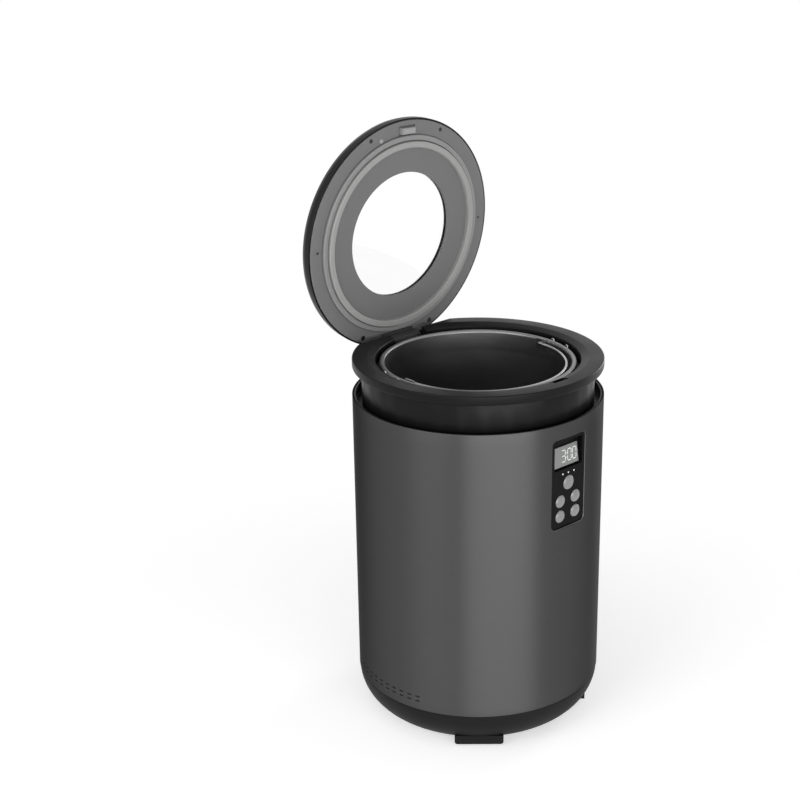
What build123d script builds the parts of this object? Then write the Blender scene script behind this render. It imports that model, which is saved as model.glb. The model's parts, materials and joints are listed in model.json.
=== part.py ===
from build123d import *
import math
import os

os.makedirs("parts", exist_ok=True)

# Electric food waste composter. Millimetres, +Z up, front (control panel) towards -Y,
# origin on the body's axis at the plane the rubber feet stand on.

# Clearances
gap = 0.3            # between separate pieces that sit beside each other
slide_gap = 0.6      # around the filter drawer
run_gap = 0.05       # radial play of a shaft in its bush
lip = 0.02           # overshoot of a cut past a face

# Bucket, worked outwards to the body
bucket_r = 90.2
bucket_wall = 1.5
bucket_in = bucket_r - bucket_wall
bucket_foot_r = bucket_r - 5.0
bead_r = 2.6
bead_x = bucket_in + bead_r
bead_out = bead_x + bead_r
pot_in = bucket_r + 2.0
pot_out = pot_in + 1.2
pot_flange_r = pot_out + 5.9
drum_in = pot_flange_r + 4.7
drum_out = drum_in + 2.0
duct_gap = 1.3
duct_depth = 7.0
duct_x = (drum_out + duct_gap, drum_out + duct_gap + duct_depth)
duct_y = (-26.0, 2.0)
sleeve_in_r = duct_x[1] + 4.2
sleeve_wall = 1.5
body_r = sleeve_in_r + sleeve_wall

# Outer body
foot_h = 8.0
base_top = 39.0
sleeve_bottom = base_top + gap
sleeve_top = 325.0
shell_r = body_r - 0.4
shell_arc_r = base_top - 0.25
shell_arc_x = shell_r - shell_arc_r
floor_t = 3.0
floor_top = foot_h + floor_t
spigot_out = sleeve_in_r - gap
spigot_in = spigot_out - 2.3
spigot_h = 8.0

# Upper works
rim_top = 361.0
rim_bottom = rim_top - 9.0
rim_r = body_r - 0.5
rim_in_r = bead_out + 3.6
rim_lip_t = 1.4
shoulder_r = rim_in_r + 7.5
cone_low = rim_top - 2.4
rim_lip_low = rim_bottom - 2.0
collar_out = body_r - 9.3
collar_in = collar_out - 2.0
web_bottom = 312.9
web_top = 315.4
trim_in = spigot_out - 1.8
trim_top = sleeve_top - 0.3
deck_bottom = 150.0
deck_top = 153.0
deck_r = sleeve_in_r - 3.0

# Rear flat of the collar and the lid hinge
flat_y = collar_out - 8.7
flat_wall = 2.0
ledge_low = 339.0
ledge_top = 341.0
hinge_y = flat_y + 4.3
hinge_z = rim_top - 9.8
pin_r = 2.0
barrel_r = 5.0
notch_half = 21.0
notch_low = 343.0
knuckle_half = notch_half - 0.5
lug_in = notch_half + 0.6
lug_t = 6.0
open_angle = 84.5

# Lid
lid_low = rim_top + 0.4
plate_t = 3.0
plate_r = rim_r - 6.8
window_r = 62.0
lid_r = plate_r + 1.8
lid_h = 14.0
seal_r = rim_in_r + 1.0
seal_drop = 4.5
keeper_y = -(shoulder_r - 1.7)
leaf_y = seal_r + 0.8
leaf_t = 2.0

# Pot and bucket heights
pot_low = 184.8
pot_floor = pot_low + 1.2
pot_top = 344.0
pot_flange_t = 1.2
pot_ledge_t = 2.0
bucket_low = pot_floor + gap
bucket_floor = bucket_low + 1.7
bucket_straight = 336.0
bead_z = lid_low - seal_drop - gap - bead_r
ear_in = bucket_in - 2.3
bail_x = bucket_in - 4.9
bail_z = bead_z - 1.3
wire_r = 1.5

# Drive
shaft_r = 6.0
stub_r = 8.0
bush_r = 12.0
module = 2.0
output_teeth = 45
small_teeth = 15
large_teeth = 33
pinion_teeth = 15
idler_x = -module * (output_teeth + small_teeth) / 2
reach = module * (large_teeth + pinion_teeth) / 2
pinion_x = idler_x + reach * math.cos(math.radians(-60))
pinion_y = reach * math.sin(math.radians(-60))
motor_r = 28.0
motor_low = 42.0
pan_low = 112.0
pan_floor = 114.5
pan_top = 144.0
pan_wall = 2.5
cover_top = 147.0
level_one = 117.0
level_one_top = 125.0
level_two = 128.0
level_two_top = 138.0

# Panel
panel_half = 21.9
panel_low = 221.6
panel_high = 310.4
panel_y = -(body_r - 2.4)
panel_back = panel_y + 2.4
panel_corner = 5.0
recess_half = 18.6
recess_low = 279.6
recess_high = 306.6
tub_back = panel_back + 3.6
tub_wall = 1.3
board_front = tub_back + 1.7
board_back = board_front + 1.6
light_z = 275.0
light_x = (-7.4, 0.1, 7.6)
light_r = 1.3
power_r = 6.85
small_r = 6.0
button_face = panel_y - 1.3
button_end = board_front - 2.0
button_spots = {
    "button_power": (0.9, 264.7, power_r),
    "button_right_upper": (10.4, 248.6, small_r),
    "button_left_upper": (-9.8, 248.4, small_r),
    "button_right_lower": (10.4, 233.6, small_r),
    "button_left_lower": (-9.8, 233.4, small_r),
}

# Rear filter and inlet
door_half = 44.1
door_low = 54.9
door_high = 109.1
door_in_r = sleeve_in_r - 1.0
case_half = 44.0
case_low = 54.4
case_high = 109.6
case_front = 40.0
case_wall = 2.0
tray_half = case_half - case_wall - slide_gap
tray_low = case_low + case_wall + gap
tray_high = 104.0
inlet_z = 129.0
fan_x = 38.0
fan_y = -12.0
fan_r = 36.0
fan_low = 58.0
fan_high = 86.0
duct_low = fan_high + gap
duct_high = 104.0


def ringPoints(pairs):
    """Closed profile in the XZ plane from (radius, height) pairs."""
    return [(r, z) for r, z in pairs]


def gearOutline(teeth, phase, addendum):
    """Outline of an involute spur gear with thinned teeth."""
    pitch = module * teeth / 2
    base = pitch * math.cos(math.radians(20))
    tip = pitch + addendum * module
    root = pitch - 1.2 * module
    thin = 0.22 / pitch
    half = math.pi / (2 * teeth) - thin + math.tan(math.radians(20)) - math.radians(20)
    points = []
    for tooth in range(teeth):
        middle = math.radians(phase) + 2 * math.pi * tooth / teeth
        side = []
        for step in range(4):
            r = max(base, root) + (tip - max(base, root)) * step / 3
            roll = math.acos(min(1.0, base / r))
            side.append((r, half - (math.tan(roll) - roll)))
        if root < base:
            side.insert(0, (root, half))
        for r, a in side:
            points.append((r * math.cos(middle - a), r * math.sin(middle - a)))
        for r, a in reversed(side):
            points.append((r * math.cos(middle + a), r * math.sin(middle + a)))
    return points


def bladeOutline(turn, inner, outer, thick, sweep):
    """Curved paddle seen from above, from the hub out to the bucket wall."""
    left = []
    right = []
    steps = 9
    for step in range(steps):
        f = step / (steps - 1)
        r = inner + (outer - inner) * f
        a = math.radians(turn) + math.radians(sweep) * f * f
        w = math.asin(thick * (1 - 0.35 * f) / 2 / r)
        left.append((r * math.cos(a + w), r * math.sin(a + w)))
        right.append((r * math.cos(a - w), r * math.sin(a - w)))
    return left + right[::-1]


# ---------------- outer body ----------------
vent_angles = [73.3 + 4.55 * n for n in range(11)]
vent_heights = (48.0, 52.7)
with BuildPart() as outer_sleeve:
    with BuildSketch(Plane.XY.offset(sleeve_bottom)):
        Circle(body_r)
        Circle(sleeve_in_r, mode=Mode.SUBTRACT)
    extrude(amount=sleeve_top - sleeve_bottom)
    with BuildSketch(Plane.XZ.offset(drum_in)):
        with Locations((0, (panel_low + panel_high) / 2)):
            RectangleRounded(2 * (panel_half + gap), panel_high - panel_low + 2 * gap, panel_corner + gap)
    extrude(amount=2 * (body_r - drum_in), mode=Mode.SUBTRACT)
    with BuildSketch(Plane.XZ.offset(-drum_in)):
        with Locations((0, (door_low + door_high) / 2)):
            Rectangle(2 * (door_half + 0.5), door_high - door_low + 1.0)
        with Locations((0, inlet_z)):
            Rectangle(27.4, 20.4)
    extrude(amount=-2 * (body_r - drum_in), mode=Mode.SUBTRACT)
    with Locations(
        [
            Location(
                (side * body_r * math.sin(math.radians(a)), -body_r * math.cos(math.radians(a)), z),
                (0, 0, side * a),
            )
            for side in (-1, 1)
            for a in vent_angles
            for z in vent_heights
        ]
    ):
        Box(5.2, 8.0, 1.3, mode=Mode.SUBTRACT)

with BuildPart() as trim_ring:
    with BuildSketch(Plane.XZ):
        with BuildLine():
            Polyline(
                (drum_in - 1, web_bottom),
                (spigot_out, web_bottom),
                (spigot_out, trim_top),
                (trim_in, trim_top),
                (trim_in, web_top),
                (drum_in - 1, web_top),
                close=True,
            )
        make_face()
    revolve(axis=Axis.Z)

foot_spots = (-44.0, 44.0, 150.0, -150.0)
foot_mid_r = body_r - 21.0
leg_spots = ((-70, 60), (-70, -60), (88, 35), (88, -35))
leg_r = 6.0
foot_wide = 47.0
foot_deep = 18.0
shell_low_x = shell_arc_x + math.sqrt(shell_arc_r**2 - (base_top - foot_h) ** 2)
inner_arc_r = spigot_in - shell_arc_x
inner_low_x = shell_arc_x + math.sqrt(inner_arc_r**2 - (base_top - floor_top) ** 2)


def arcMiddle(radius, low):
    """Point half way along the shell's quarter curve."""
    a = math.asin((base_top - low) / radius) / 2
    return (shell_arc_x + radius * math.cos(a), base_top - radius * math.sin(a))


with BuildPart() as base_shell:
    with BuildSketch(Plane.XZ):
        with BuildLine():
            Line((0, foot_h), (shell_low_x, foot_h))
            ThreePointArc((shell_low_x, foot_h), arcMiddle(shell_arc_r, foot_h), (shell_r, base_top))
            Polyline(
                (shell_r, base_top),
                (spigot_out, base_top),
                (spigot_out, base_top + spigot_h),
                (spigot_in, base_top + spigot_h),
                (spigot_in, base_top),
            )
            ThreePointArc(
                (spigot_in, base_top), arcMiddle(inner_arc_r, floor_top), (inner_low_x, floor_top)
            )
            Line((inner_low_x, floor_top), (0, floor_top))
            Line((0, floor_top), (0, foot_h))
        make_face()
    revolve(axis=Axis.Z)
    foot_places = [
        Location(
            (foot_mid_r * math.sin(math.radians(a)), -foot_mid_r * math.cos(math.radians(a)), 1.0),
            (0, 0, a),
        )
        for a in foot_spots
    ]
    for place in foot_places:
        with BuildSketch(Plane(place) * Plane.XZ.offset(-foot_deep / 2)):
            with Locations((0, foot_h)):
                RectangleRounded(foot_wide, 2 * (foot_h - 1.0), 2.8)
            with Locations((0, floor_top - 1.0)):
                Rectangle(2 * foot_wide, 2 * foot_h, align=(Align.CENTER, Align.MIN), mode=Mode.SUBTRACT)
        extrude(amount=foot_deep)
    with Locations(foot_places):
        Box(40.0, 12.0, 3.0, align=(Align.CENTER, Align.CENTER, Align.CENTER), mode=Mode.SUBTRACT)
    with Locations([(x, y, foot_h) for x, y in leg_spots]):
        Cylinder(2.0, 3 * floor_t, mode=Mode.SUBTRACT)
        Cylinder(4.0, floor_t, mode=Mode.SUBTRACT)
    with Locations([(x, 12, foot_h) for x in range(-24, 25, 8)]):
        Box(3.0, 20.0, 4 * floor_t, mode=Mode.SUBTRACT)
    with Locations([(x, -24, foot_h) for x in range(16, 57, 8)]):
        Box(3.0, 20.0, 4 * floor_t, mode=Mode.SUBTRACT)

with BuildPart() as rubber_feet:
    with Locations([Location((p.position.X, p.position.Y, 0), p.orientation) for p in foot_places]):
        Box(39.4, 11.4, 2.5 - 2 * lip, align=(Align.CENTER, Align.CENTER, Align.MIN))

with BuildPart() as base_screws:
    with Locations([(x, y, foot_h) for x, y in leg_spots]):
        Cylinder(3.6, 1.4, align=(Align.CENTER, Align.CENTER, Align.MIN))
        Cylinder(1.5, 14.0, align=(Align.CENTER, Align.CENTER, Align.MIN))

# ---------------- frame inside ----------------
with BuildPart() as deck:
    with BuildSketch(Plane.XY.offset(deck_bottom)):
        Circle(deck_r)
        Circle(13.0, mode=Mode.SUBTRACT)
        with Locations(((duct_x[0] + duct_x[1]) / 2 + 2, (duct_y[0] + duct_y[1]) / 2)):
            Rectangle(duct_x[1] - duct_x[0] + 5, duct_y[1] - duct_y[0] + 1.2, mode=Mode.SUBTRACT)
    extrude(amount=deck_top - deck_bottom)
    with Locations([(x, y, floor_top + gap) for x, y in leg_spots]):
        Cylinder(leg_r, deck_bottom - floor_top - gap, align=(Align.CENTER, Align.CENTER, Align.MIN))
        Cylinder(1.5, 12.0, align=(Align.CENTER, Align.CENTER, Align.MIN), mode=Mode.SUBTRACT)

intake_z = web_bottom - 6.9
with BuildPart() as inner_drum:
    with BuildSketch(Plane.XY.offset(deck_top)):
        Circle(drum_out)
        Circle(drum_in, mode=Mode.SUBTRACT)
    extrude(amount=web_bottom - deck_top)
    with Locations((drum_out, (duct_y[0] + duct_y[1]) / 2, intake_z)):
        Box(16.0, 20.0, 7.0, mode=Mode.SUBTRACT)

lug_top = hinge_z + barrel_r
with BuildPart() as upper_collar:
    with BuildSketch(Plane.XY.offset(web_top)):
        Circle(collar_out)
        Circle(collar_in, mode=Mode.SUBTRACT)
    extrude(amount=rim_bottom - web_top)
    with BuildSketch(Plane.XY.offset(pot_top - pot_ledge_t)):
        Circle(collar_in + lip)
        Circle(pot_out + 1.0, mode=Mode.SUBTRACT)
    extrude(amount=pot_ledge_t)
    with Locations((0, flat_y, ledge_top)):
        Box(4 * collar_out, 40, 40, align=(Align.CENTER, Align.MIN, Align.MIN), mode=Mode.SUBTRACT)
    with BuildSketch(Plane.XY.offset(ledge_low)):
        Circle(collar_out)
        with Locations((0, flat_y - flat_wall)):
            Rectangle(4 * collar_out, 4 * collar_out, align=(Align.CENTER, Align.MAX), mode=Mode.SUBTRACT)
    extrude(amount=ledge_top - ledge_low)
    with BuildSketch(Plane.XY.offset(ledge_low)):
        Circle(collar_in + 1.0)
        with Locations((0, flat_y - flat_wall)):
            Rectangle(4 * collar_out, 4 * collar_out, align=(Align.CENTER, Align.MAX), mode=Mode.SUBTRACT)
        with Locations((0, flat_y)):
            Rectangle(4 * collar_out, 4 * collar_out, align=(Align.CENTER, Align.MIN), mode=Mode.SUBTRACT)
    extrude(amount=rim_bottom - ledge_low)
    with Locations((0, flat_y - flat_wall / 2, notch_low)):
        Box(
            2 * notch_half,
            3 * flat_wall,
            40,
            align=(Align.CENTER, Align.CENTER, Align.MIN),
            mode=Mode.SUBTRACT,
        )
    for side in (-1, 1):
        with BuildSketch(Plane.YZ.offset(side * (lug_in + lug_t / 2))):
            with Locations((flat_y, ledge_top)):
                Rectangle(hinge_y - flat_y, lug_top - ledge_top, align=(Align.MIN, Align.MIN))
            with Locations((hinge_y, ledge_top)):
                Rectangle(3.8, hinge_z - ledge_top, align=(Align.MIN, Align.MIN))
            with Locations((hinge_y, hinge_z)):
                Circle(barrel_r - 1.2)
                Circle(pin_r, mode=Mode.SUBTRACT)
        extrude(amount=lug_t / 2, both=True)
    with Locations((0, hinge_y + 1.2, ledge_top)):
        Box(24.0, 2.3, 4.9, align=(Align.CENTER, Align.MIN, Align.MIN))

with BuildPart() as rim_bezel:
    with BuildSketch(Plane.XZ):
        with BuildLine():
            Polyline(
                (rim_in_r, rim_lip_low),
                (rim_in_r, cone_low),
                (shoulder_r, rim_top),
                (rim_r - 1.0, rim_top),
                (rim_r, rim_top - 1.0),
                (rim_r, rim_bottom + 1.6),
                (rim_r - 1.6, rim_bottom),
                (rim_in_r + rim_lip_t, rim_bottom),
                (rim_in_r + rim_lip_t, rim_lip_low),
                close=True,
            )
        make_face()
    revolve(axis=Axis.Z)
    with BuildSketch(Plane.XY.offset(rim_bottom - lip)):
        Circle(rim_r - 2.6)
        Circle(collar_out + 1.0, mode=Mode.SUBTRACT)
    extrude(amount=5.0, mode=Mode.SUBTRACT)
    with Locations((0, flat_y, rim_lip_low - 1)):
        Box(4 * rim_r, 40, 40, align=(Align.CENTER, Align.MIN, Align.MIN), mode=Mode.SUBTRACT)
    with Locations((0, flat_y, rim_lip_low - 1)):
        Box(2 * notch_half, 30, 40, align=(Align.CENTER, Align.CENTER, Align.MIN), mode=Mode.SUBTRACT)
    with Locations((0, keeper_y, rim_bottom + 1.6)):
        Box(18.4, 8.4, 40, align=(Align.CENTER, Align.CENTER, Align.MIN), mode=Mode.SUBTRACT)

sensor_y = -(collar_in - 4.3)
sensor_h = rim_bottom - pot_top - 1.6
with BuildPart() as lid_sensor:
    with Locations((0, sensor_y, pot_top + gap)):
        Box(20.0, 5.6, sensor_h, align=(Align.CENTER, Align.CENTER, Align.MIN))
    with Locations((6.0, sensor_y, pot_top + gap + sensor_h)):
        Cylinder(1.2, 0.8, align=(Align.CENTER, Align.CENTER, Align.MIN))

with BuildPart() as hinge_pin:
    with BuildSketch(Plane.YZ.offset(-(lug_in + lug_t + 0.5))):
        with Locations((hinge_y, hinge_z)):
            Circle(pin_r)
    extrude(amount=2 * (lug_in + lug_t + 0.5))

# ---------------- heated pot ----------------
bearing_flange_r = 16.0
with BuildPart() as heating_pot:
    with BuildSketch(Plane.XY.offset(pot_low)):
        Circle(pot_out)
        Circle(bush_r, mode=Mode.SUBTRACT)
    extrude(amount=pot_floor - pot_low)
    with BuildSketch(Plane.XY.offset(pot_low)):
        Circle(pot_out)
        Circle(pot_in, mode=Mode.SUBTRACT)
    extrude(amount=pot_top - pot_low)
    with BuildSketch(Plane.XY.offset(pot_top)):
        Circle(pot_flange_r)
        Circle(pot_in, mode=Mode.SUBTRACT)
    extrude(amount=pot_flange_t)

heater_t = 5.5
heater_in_r = 30.0
heater_r = pot_in - 8.2
terminal_h = 3.0
with BuildPart() as heater_plate:
    with BuildSketch(Plane.XY.offset(pot_low - gap)):
        Circle(heater_r)
        Circle(heater_in_r, mode=Mode.SUBTRACT)
    extrude(amount=-heater_t)
    with Locations((heater_r - 24.0, 0, pot_low - gap - heater_t - terminal_h)):
        Box(14.0, 10.0, terminal_h + lip, align=(Align.CENTER, Align.CENTER, Align.MIN))

sensor_len = 7.0
with BuildPart() as temp_sensor:
    with Locations((heater_in_r - 7.0, 0, pot_low - gap)):
        Cylinder(6.0, sensor_len, align=(Align.CENTER, Align.CENTER, Align.MAX))

wool_low = pot_low + 5.2
wool_top = web_bottom - 12.9
with BuildPart() as insulation:
    with BuildSketch(Plane.XY.offset(wool_low)):
        Circle(drum_in - 0.6)
        Circle(pot_out + 0.5, mode=Mode.SUBTRACT)
    extrude(amount=wool_top - wool_low)

bearing_low = pot_low - 8.8
with BuildPart() as pot_bearing:
    with BuildSketch(Plane.XY.offset(bearing_low)):
        Circle(bush_r)
        Circle(shaft_r + run_gap, mode=Mode.SUBTRACT)
    extrude(amount=pot_floor - bearing_low)
    with BuildSketch(Plane.XY.offset(pot_low - 2.2)):
        Circle(bearing_flange_r)
        Circle(shaft_r + run_gap, mode=Mode.SUBTRACT)
    extrude(amount=2.2)

# ---------------- gearbox ----------------


def panRegion(extra):
    """Circles whose hull is the gearbox outline."""
    return (((0, 0), 51.0 + extra), ((idler_x, 0), 38.5 + extra), ((pinion_x, pinion_y), 19.0 + extra))


with BuildPart() as gearbox_pan:
    with BuildSketch(Plane.XY.offset(pan_low)):
        for spot, r in panRegion(pan_wall):
            with Locations(spot):
                Circle(r)
        make_hull()
    extrude(amount=pan_top - pan_low)
    with BuildSketch(Plane.XY.offset(pan_floor)):
        for spot, r in panRegion(0):
            with Locations(spot):
                Circle(r)
        make_hull()
    extrude(amount=pan_top - pan_floor + lip, mode=Mode.SUBTRACT)
    with Locations((idler_x, 0, pan_floor)):
        Cylinder(8.0, level_one - gap - pan_floor, align=(Align.CENTER, Align.CENTER, Align.MIN))
    with Locations((0, 0, pan_low)):
        Cylinder(9.0, 20, mode=Mode.SUBTRACT)
    with Locations((idler_x, 0, pan_low)):
        Cylinder(4.0, 20, mode=Mode.SUBTRACT)
    with Locations((pinion_x, pinion_y, pan_low)):
        Cylinder(5.0, 20, mode=Mode.SUBTRACT)

across = (math.cos(math.radians(30)), math.sin(math.radians(30)))
screw_reach = 12.5
motor_screw_spots = [
    (pinion_x + s * screw_reach * across[0], pinion_y + s * screw_reach * across[1]) for s in (-1, 1)
]
cover_screw_spots = ((38, 38), (38, -38), (-84, 31), (-84, -31))
with BuildPart() as gearbox_cover:
    with BuildSketch(Plane.XY.offset(pan_top)):
        for spot, r in panRegion(pan_wall):
            with Locations(spot):
                Circle(r)
        make_hull()
    extrude(amount=cover_top - pan_top)
    with Locations((0, 0, pan_top)):
        Cylinder(9.0, 20, mode=Mode.SUBTRACT)
    with Locations((idler_x, 0, pan_top)):
        Cylinder(4.0, 20, mode=Mode.SUBTRACT)
    with Locations([(x * 0.9, y * 0.9, cover_top - lip) for x, y in cover_screw_spots]):
        Cylinder(5.0, deck_bottom - cover_top + lip, align=(Align.CENTER, Align.CENTER, Align.MIN))

with BuildPart() as gear_bushes:
    with BuildSketch(Plane.XY.offset(pan_low)):
        Circle(9.0)
        Circle(shaft_r + run_gap, mode=Mode.SUBTRACT)
    extrude(amount=6.0)
    with BuildSketch(Plane.XY.offset(139.5)):
        Circle(9.0)
        Circle(shaft_r + run_gap, mode=Mode.SUBTRACT)
    extrude(amount=9.0)

with BuildPart() as idler_pin:
    with Locations((idler_x, 0, pan_low)):
        Cylinder(4.0, cover_top - pan_low, align=(Align.CENTER, Align.CENTER, Align.MIN))

with BuildPart() as motor_can:
    with Locations((pinion_x, pinion_y, motor_low)):
        Cylinder(motor_r, pan_low - motor_low, align=(Align.CENTER, Align.CENTER, Align.MIN))
        Cylinder(7.0, 7.0, align=(Align.CENTER, Align.CENTER, Align.MAX))
    fillet(motor_can.edges().filter_by(GeomType.CIRCLE).group_by(Axis.Z)[-1], 2.0)
    with Locations((pinion_x, pinion_y, 98.0)):
        Cylinder(3.0 + run_gap, 20.0, align=(Align.CENTER, Align.CENTER, Align.MIN), mode=Mode.SUBTRACT)
    with Locations([(x, y, 104.0) for x, y in motor_screw_spots]):
        Cylinder(1.5, 20.0, align=(Align.CENTER, Align.CENTER, Align.MIN), mode=Mode.SUBTRACT)

with BuildPart() as gearbox_screws:
    with Locations([(x, y, 104.0) for x, y in motor_screw_spots]):
        Cylinder(1.5, pan_floor - 104.0 + lip, align=(Align.CENTER, Align.CENTER, Align.MIN))
    with Locations([(x, y, pan_floor) for x, y in motor_screw_spots]):
        Cylinder(2.8, 1.8, align=(Align.CENTER, Align.CENTER, Align.MIN))
with BuildPart() as pan_holes:
    with Locations([(x, y, pan_low - 1) for x, y in motor_screw_spots]):
        Cylinder(1.5, 2 * pan_wall, align=(Align.CENTER, Align.CENTER, Align.MIN))
gearbox_pan.part = gearbox_pan.part - pan_holes.part

with BuildPart() as output_gear:
    with BuildSketch(Plane.XY.offset(level_two)):
        with BuildLine():
            Polyline(*gearOutline(output_teeth, 0, 0.8), close=True)
        make_face()
        Circle(shaft_r, mode=Mode.SUBTRACT)
        with PolarLocations(27.0, 6):
            Circle(7.5, mode=Mode.SUBTRACT)
    extrude(amount=level_two_top - level_two)
    with BuildSketch(Plane.XY.offset(118.4)):
        Circle(13.0)
        Circle(shaft_r, mode=Mode.SUBTRACT)
    extrude(amount=level_two_top + 1.0 - 118.4)

dog_low = pot_floor + 0.3
with BuildPart() as output_shaft:
    with Locations((0, 0, pan_low + 1.0)):
        Cylinder(shaft_r, dog_low + lip - pan_low - 1.0, align=(Align.CENTER, Align.CENTER, Align.MIN))
    with Locations((0, 0, dog_low)):
        Cylinder(7.4, 1.6, align=(Align.CENTER, Align.CENTER, Align.MIN))
    with Locations((0, 0, dog_low + 1.6 - lip)):
        Box(13.0, 3.0, 4.0, align=(Align.CENTER, Align.CENTER, Align.MIN))

with BuildPart() as idler_gear:
    with BuildSketch(Plane.XY.offset(level_one)):
        with Locations((idler_x, 0)):
            with BuildLine():
                Polyline(
                    *[(x + idler_x, y) for x, y in gearOutline(large_teeth, -60, 0.8)], close=True
                )
            make_face()
    extrude(amount=level_one_top - level_one)
    with BuildSketch(Plane.XY.offset(level_one_top - lip)):
        with BuildLine():
            Polyline(*[(x + idler_x, y) for x, y in gearOutline(small_teeth, 0, 0.9)], close=True)
        make_face()
    extrude(amount=level_two_top + 0.5 - level_one_top + lip)
    with Locations((idler_x, 0, pan_low)):
        Cylinder(4.0 + run_gap, cover_top - pan_low, align=(Align.CENTER, Align.CENTER, Align.MIN), mode=Mode.SUBTRACT)

with BuildPart() as motor_pinion:
    with BuildSketch(Plane.XY.offset(level_one)):
        with BuildLine():
            Polyline(
                *[(x + pinion_x, y + pinion_y) for x, y in gearOutline(pinion_teeth, 12, 0.9)], close=True
            )
        make_face()
    extrude(amount=level_one_top - level_one)
    with Locations((pinion_x, pinion_y, 99.0)):
        Cylinder(3.0, level_one_top + 0.8 - 99.0, align=(Align.CENTER, Align.CENTER, Align.MIN))

# ---------------- air path ----------------
with BuildPart() as blower_case:
    with BuildSketch(Plane.XY.offset(fan_low)):
        with Locations((fan_x, fan_y)):
            Circle(fan_r)
        with Locations((fan_x - fan_r, fan_y)):
            Rectangle(24.0, case_front - gap - fan_y, align=(Align.MIN, Align.MIN))
    extrude(amount=fan_high - fan_low)
    with BuildSketch(Plane.XY.offset(fan_low + 1.8)):
        with Locations((fan_x, fan_y)):
            Circle(fan_r - 1.8)
        with Locations((fan_x - fan_r + 1.8, fan_y)):
            Rectangle(20.4, 80.0, align=(Align.MIN, Align.MIN))
    extrude(amount=fan_high - fan_low - 3.6, mode=Mode.SUBTRACT)
    with Locations((fan_x, fan_y, fan_high)):
        Cylinder(13.5, 10.0, mode=Mode.SUBTRACT)
    with Locations(
        [
            (fan_x + 24 * math.cos(a), fan_y + 24 * math.sin(a), floor_top + gap)
            for a in (0.3, 2.4, 4.5)
        ]
    ):
        Cylinder(4.0, fan_low - floor_top - gap + lip, align=(Align.CENTER, Align.CENTER, Align.MIN))
    with Locations((fan_x, fan_y, fan_low + 1.8 - lip)):
        Cylinder(2.0, 10.0, align=(Align.CENTER, Align.CENTER, Align.MIN))

rotor_low = 62.5
with BuildPart() as blower_rotor:
    with BuildSketch(Plane.XY.offset(rotor_low)):
        with Locations((fan_x, fan_y)):
            Circle(30.0)
    extrude(amount=1.6)
    with BuildSketch(Plane.XY.offset(rotor_low)):
        with Locations((fan_x, fan_y)):
            Circle(9.0)
    extrude(amount=11.0)
    with Locations([Location((fan_x, fan_y, rotor_low + 1.6 - lip), (0, 0, a)) for a in range(0, 360, 20)]):
        with Locations(Location((25.0, 0, 0), (0, 0, 35))):
            Box(9.0, 1.2, 16.0, align=(Align.CENTER, Align.CENTER, Align.MIN))
    with Locations((fan_x, fan_y, rotor_low - 1)):
        Cylinder(2.0 + run_gap, 10.6, align=(Align.CENTER, Align.CENTER, Align.MIN), mode=Mode.SUBTRACT)

duct_mid_y = (duct_y[0] + duct_y[1]) / 2
duct_width = duct_y[1] - duct_y[0]
duct_top = web_bottom - 1.4
duct_wall = 1.3
duct_end = fan_x - 18.0
with BuildPart() as air_duct:
    with Locations((duct_end, duct_mid_y, duct_low)):
        Box(duct_x[1] - duct_end, duct_width, duct_high - duct_low, align=(Align.MIN, Align.CENTER, Align.MIN))
    with Locations((duct_x[0], duct_mid_y, duct_low)):
        Box(
            duct_x[1] - duct_x[0],
            duct_width,
            duct_top - duct_low,
            align=(Align.MIN, Align.CENTER, Align.MIN),
        )
    with Locations((duct_end + duct_wall, duct_mid_y, duct_low + duct_wall)):
        Box(
            duct_x[1] - duct_end - 2 * duct_wall,
            duct_width - 2 * duct_wall,
            duct_high - duct_low - 2 * duct_wall,
            align=(Align.MIN, Align.CENTER, Align.MIN),
            mode=Mode.SUBTRACT,
        )
    with Locations((duct_x[0] + duct_wall, duct_mid_y, duct_low + duct_wall)):
        Box(
            duct_x[1] - duct_x[0] - 2 * duct_wall,
            duct_width - 2 * duct_wall,
            duct_top - duct_low - 2 * duct_wall,
            align=(Align.MIN, Align.CENTER, Align.MIN),
            mode=Mode.SUBTRACT,
        )
    with Locations((fan_x, fan_y, duct_low)):
        Cylinder(12.5, 4.0, mode=Mode.SUBTRACT)
    with Locations((duct_x[0], duct_mid_y, intake_z)):
        Box(6.0, 18.0, 6.0, mode=Mode.SUBTRACT)

with BuildPart() as filter_case:
    with BuildSketch(Plane.XY.offset(case_low)):
        Circle(door_in_r - gap)
        with Locations((-case_half, 0)):
            Rectangle(2 * body_r, 4 * body_r, align=(Align.MAX, Align.CENTER), mode=Mode.SUBTRACT)
        with Locations((case_half, 0)):
            Rectangle(2 * body_r, 4 * body_r, align=(Align.MIN, Align.CENTER), mode=Mode.SUBTRACT)
        with Locations((0, case_front)):
            Rectangle(4 * body_r, 4 * body_r, align=(Align.CENTER, Align.MAX), mode=Mode.SUBTRACT)
    extrude(amount=case_high - case_low)
    with Locations((0, case_front + case_wall, case_low + case_wall)):
        Box(
            2 * (case_half - case_wall),
            body_r,
            case_high - case_low - 2 * case_wall,
            align=(Align.CENTER, Align.MIN, Align.MIN),
            mode=Mode.SUBTRACT,
        )
    with Locations((fan_x - fan_r + 12.0, case_front, (fan_low + fan_high) / 2)):
        Box(20.4, 10.0, fan_high - fan_low - 3.6, mode=Mode.SUBTRACT)
    with Locations([(x, y, floor_top + gap) for x in (-38, 38) for y in (48, 86)]):
        Cylinder(4.0, case_low - floor_top - gap + lip, align=(Align.CENTER, Align.CENTER, Align.MIN))

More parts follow.
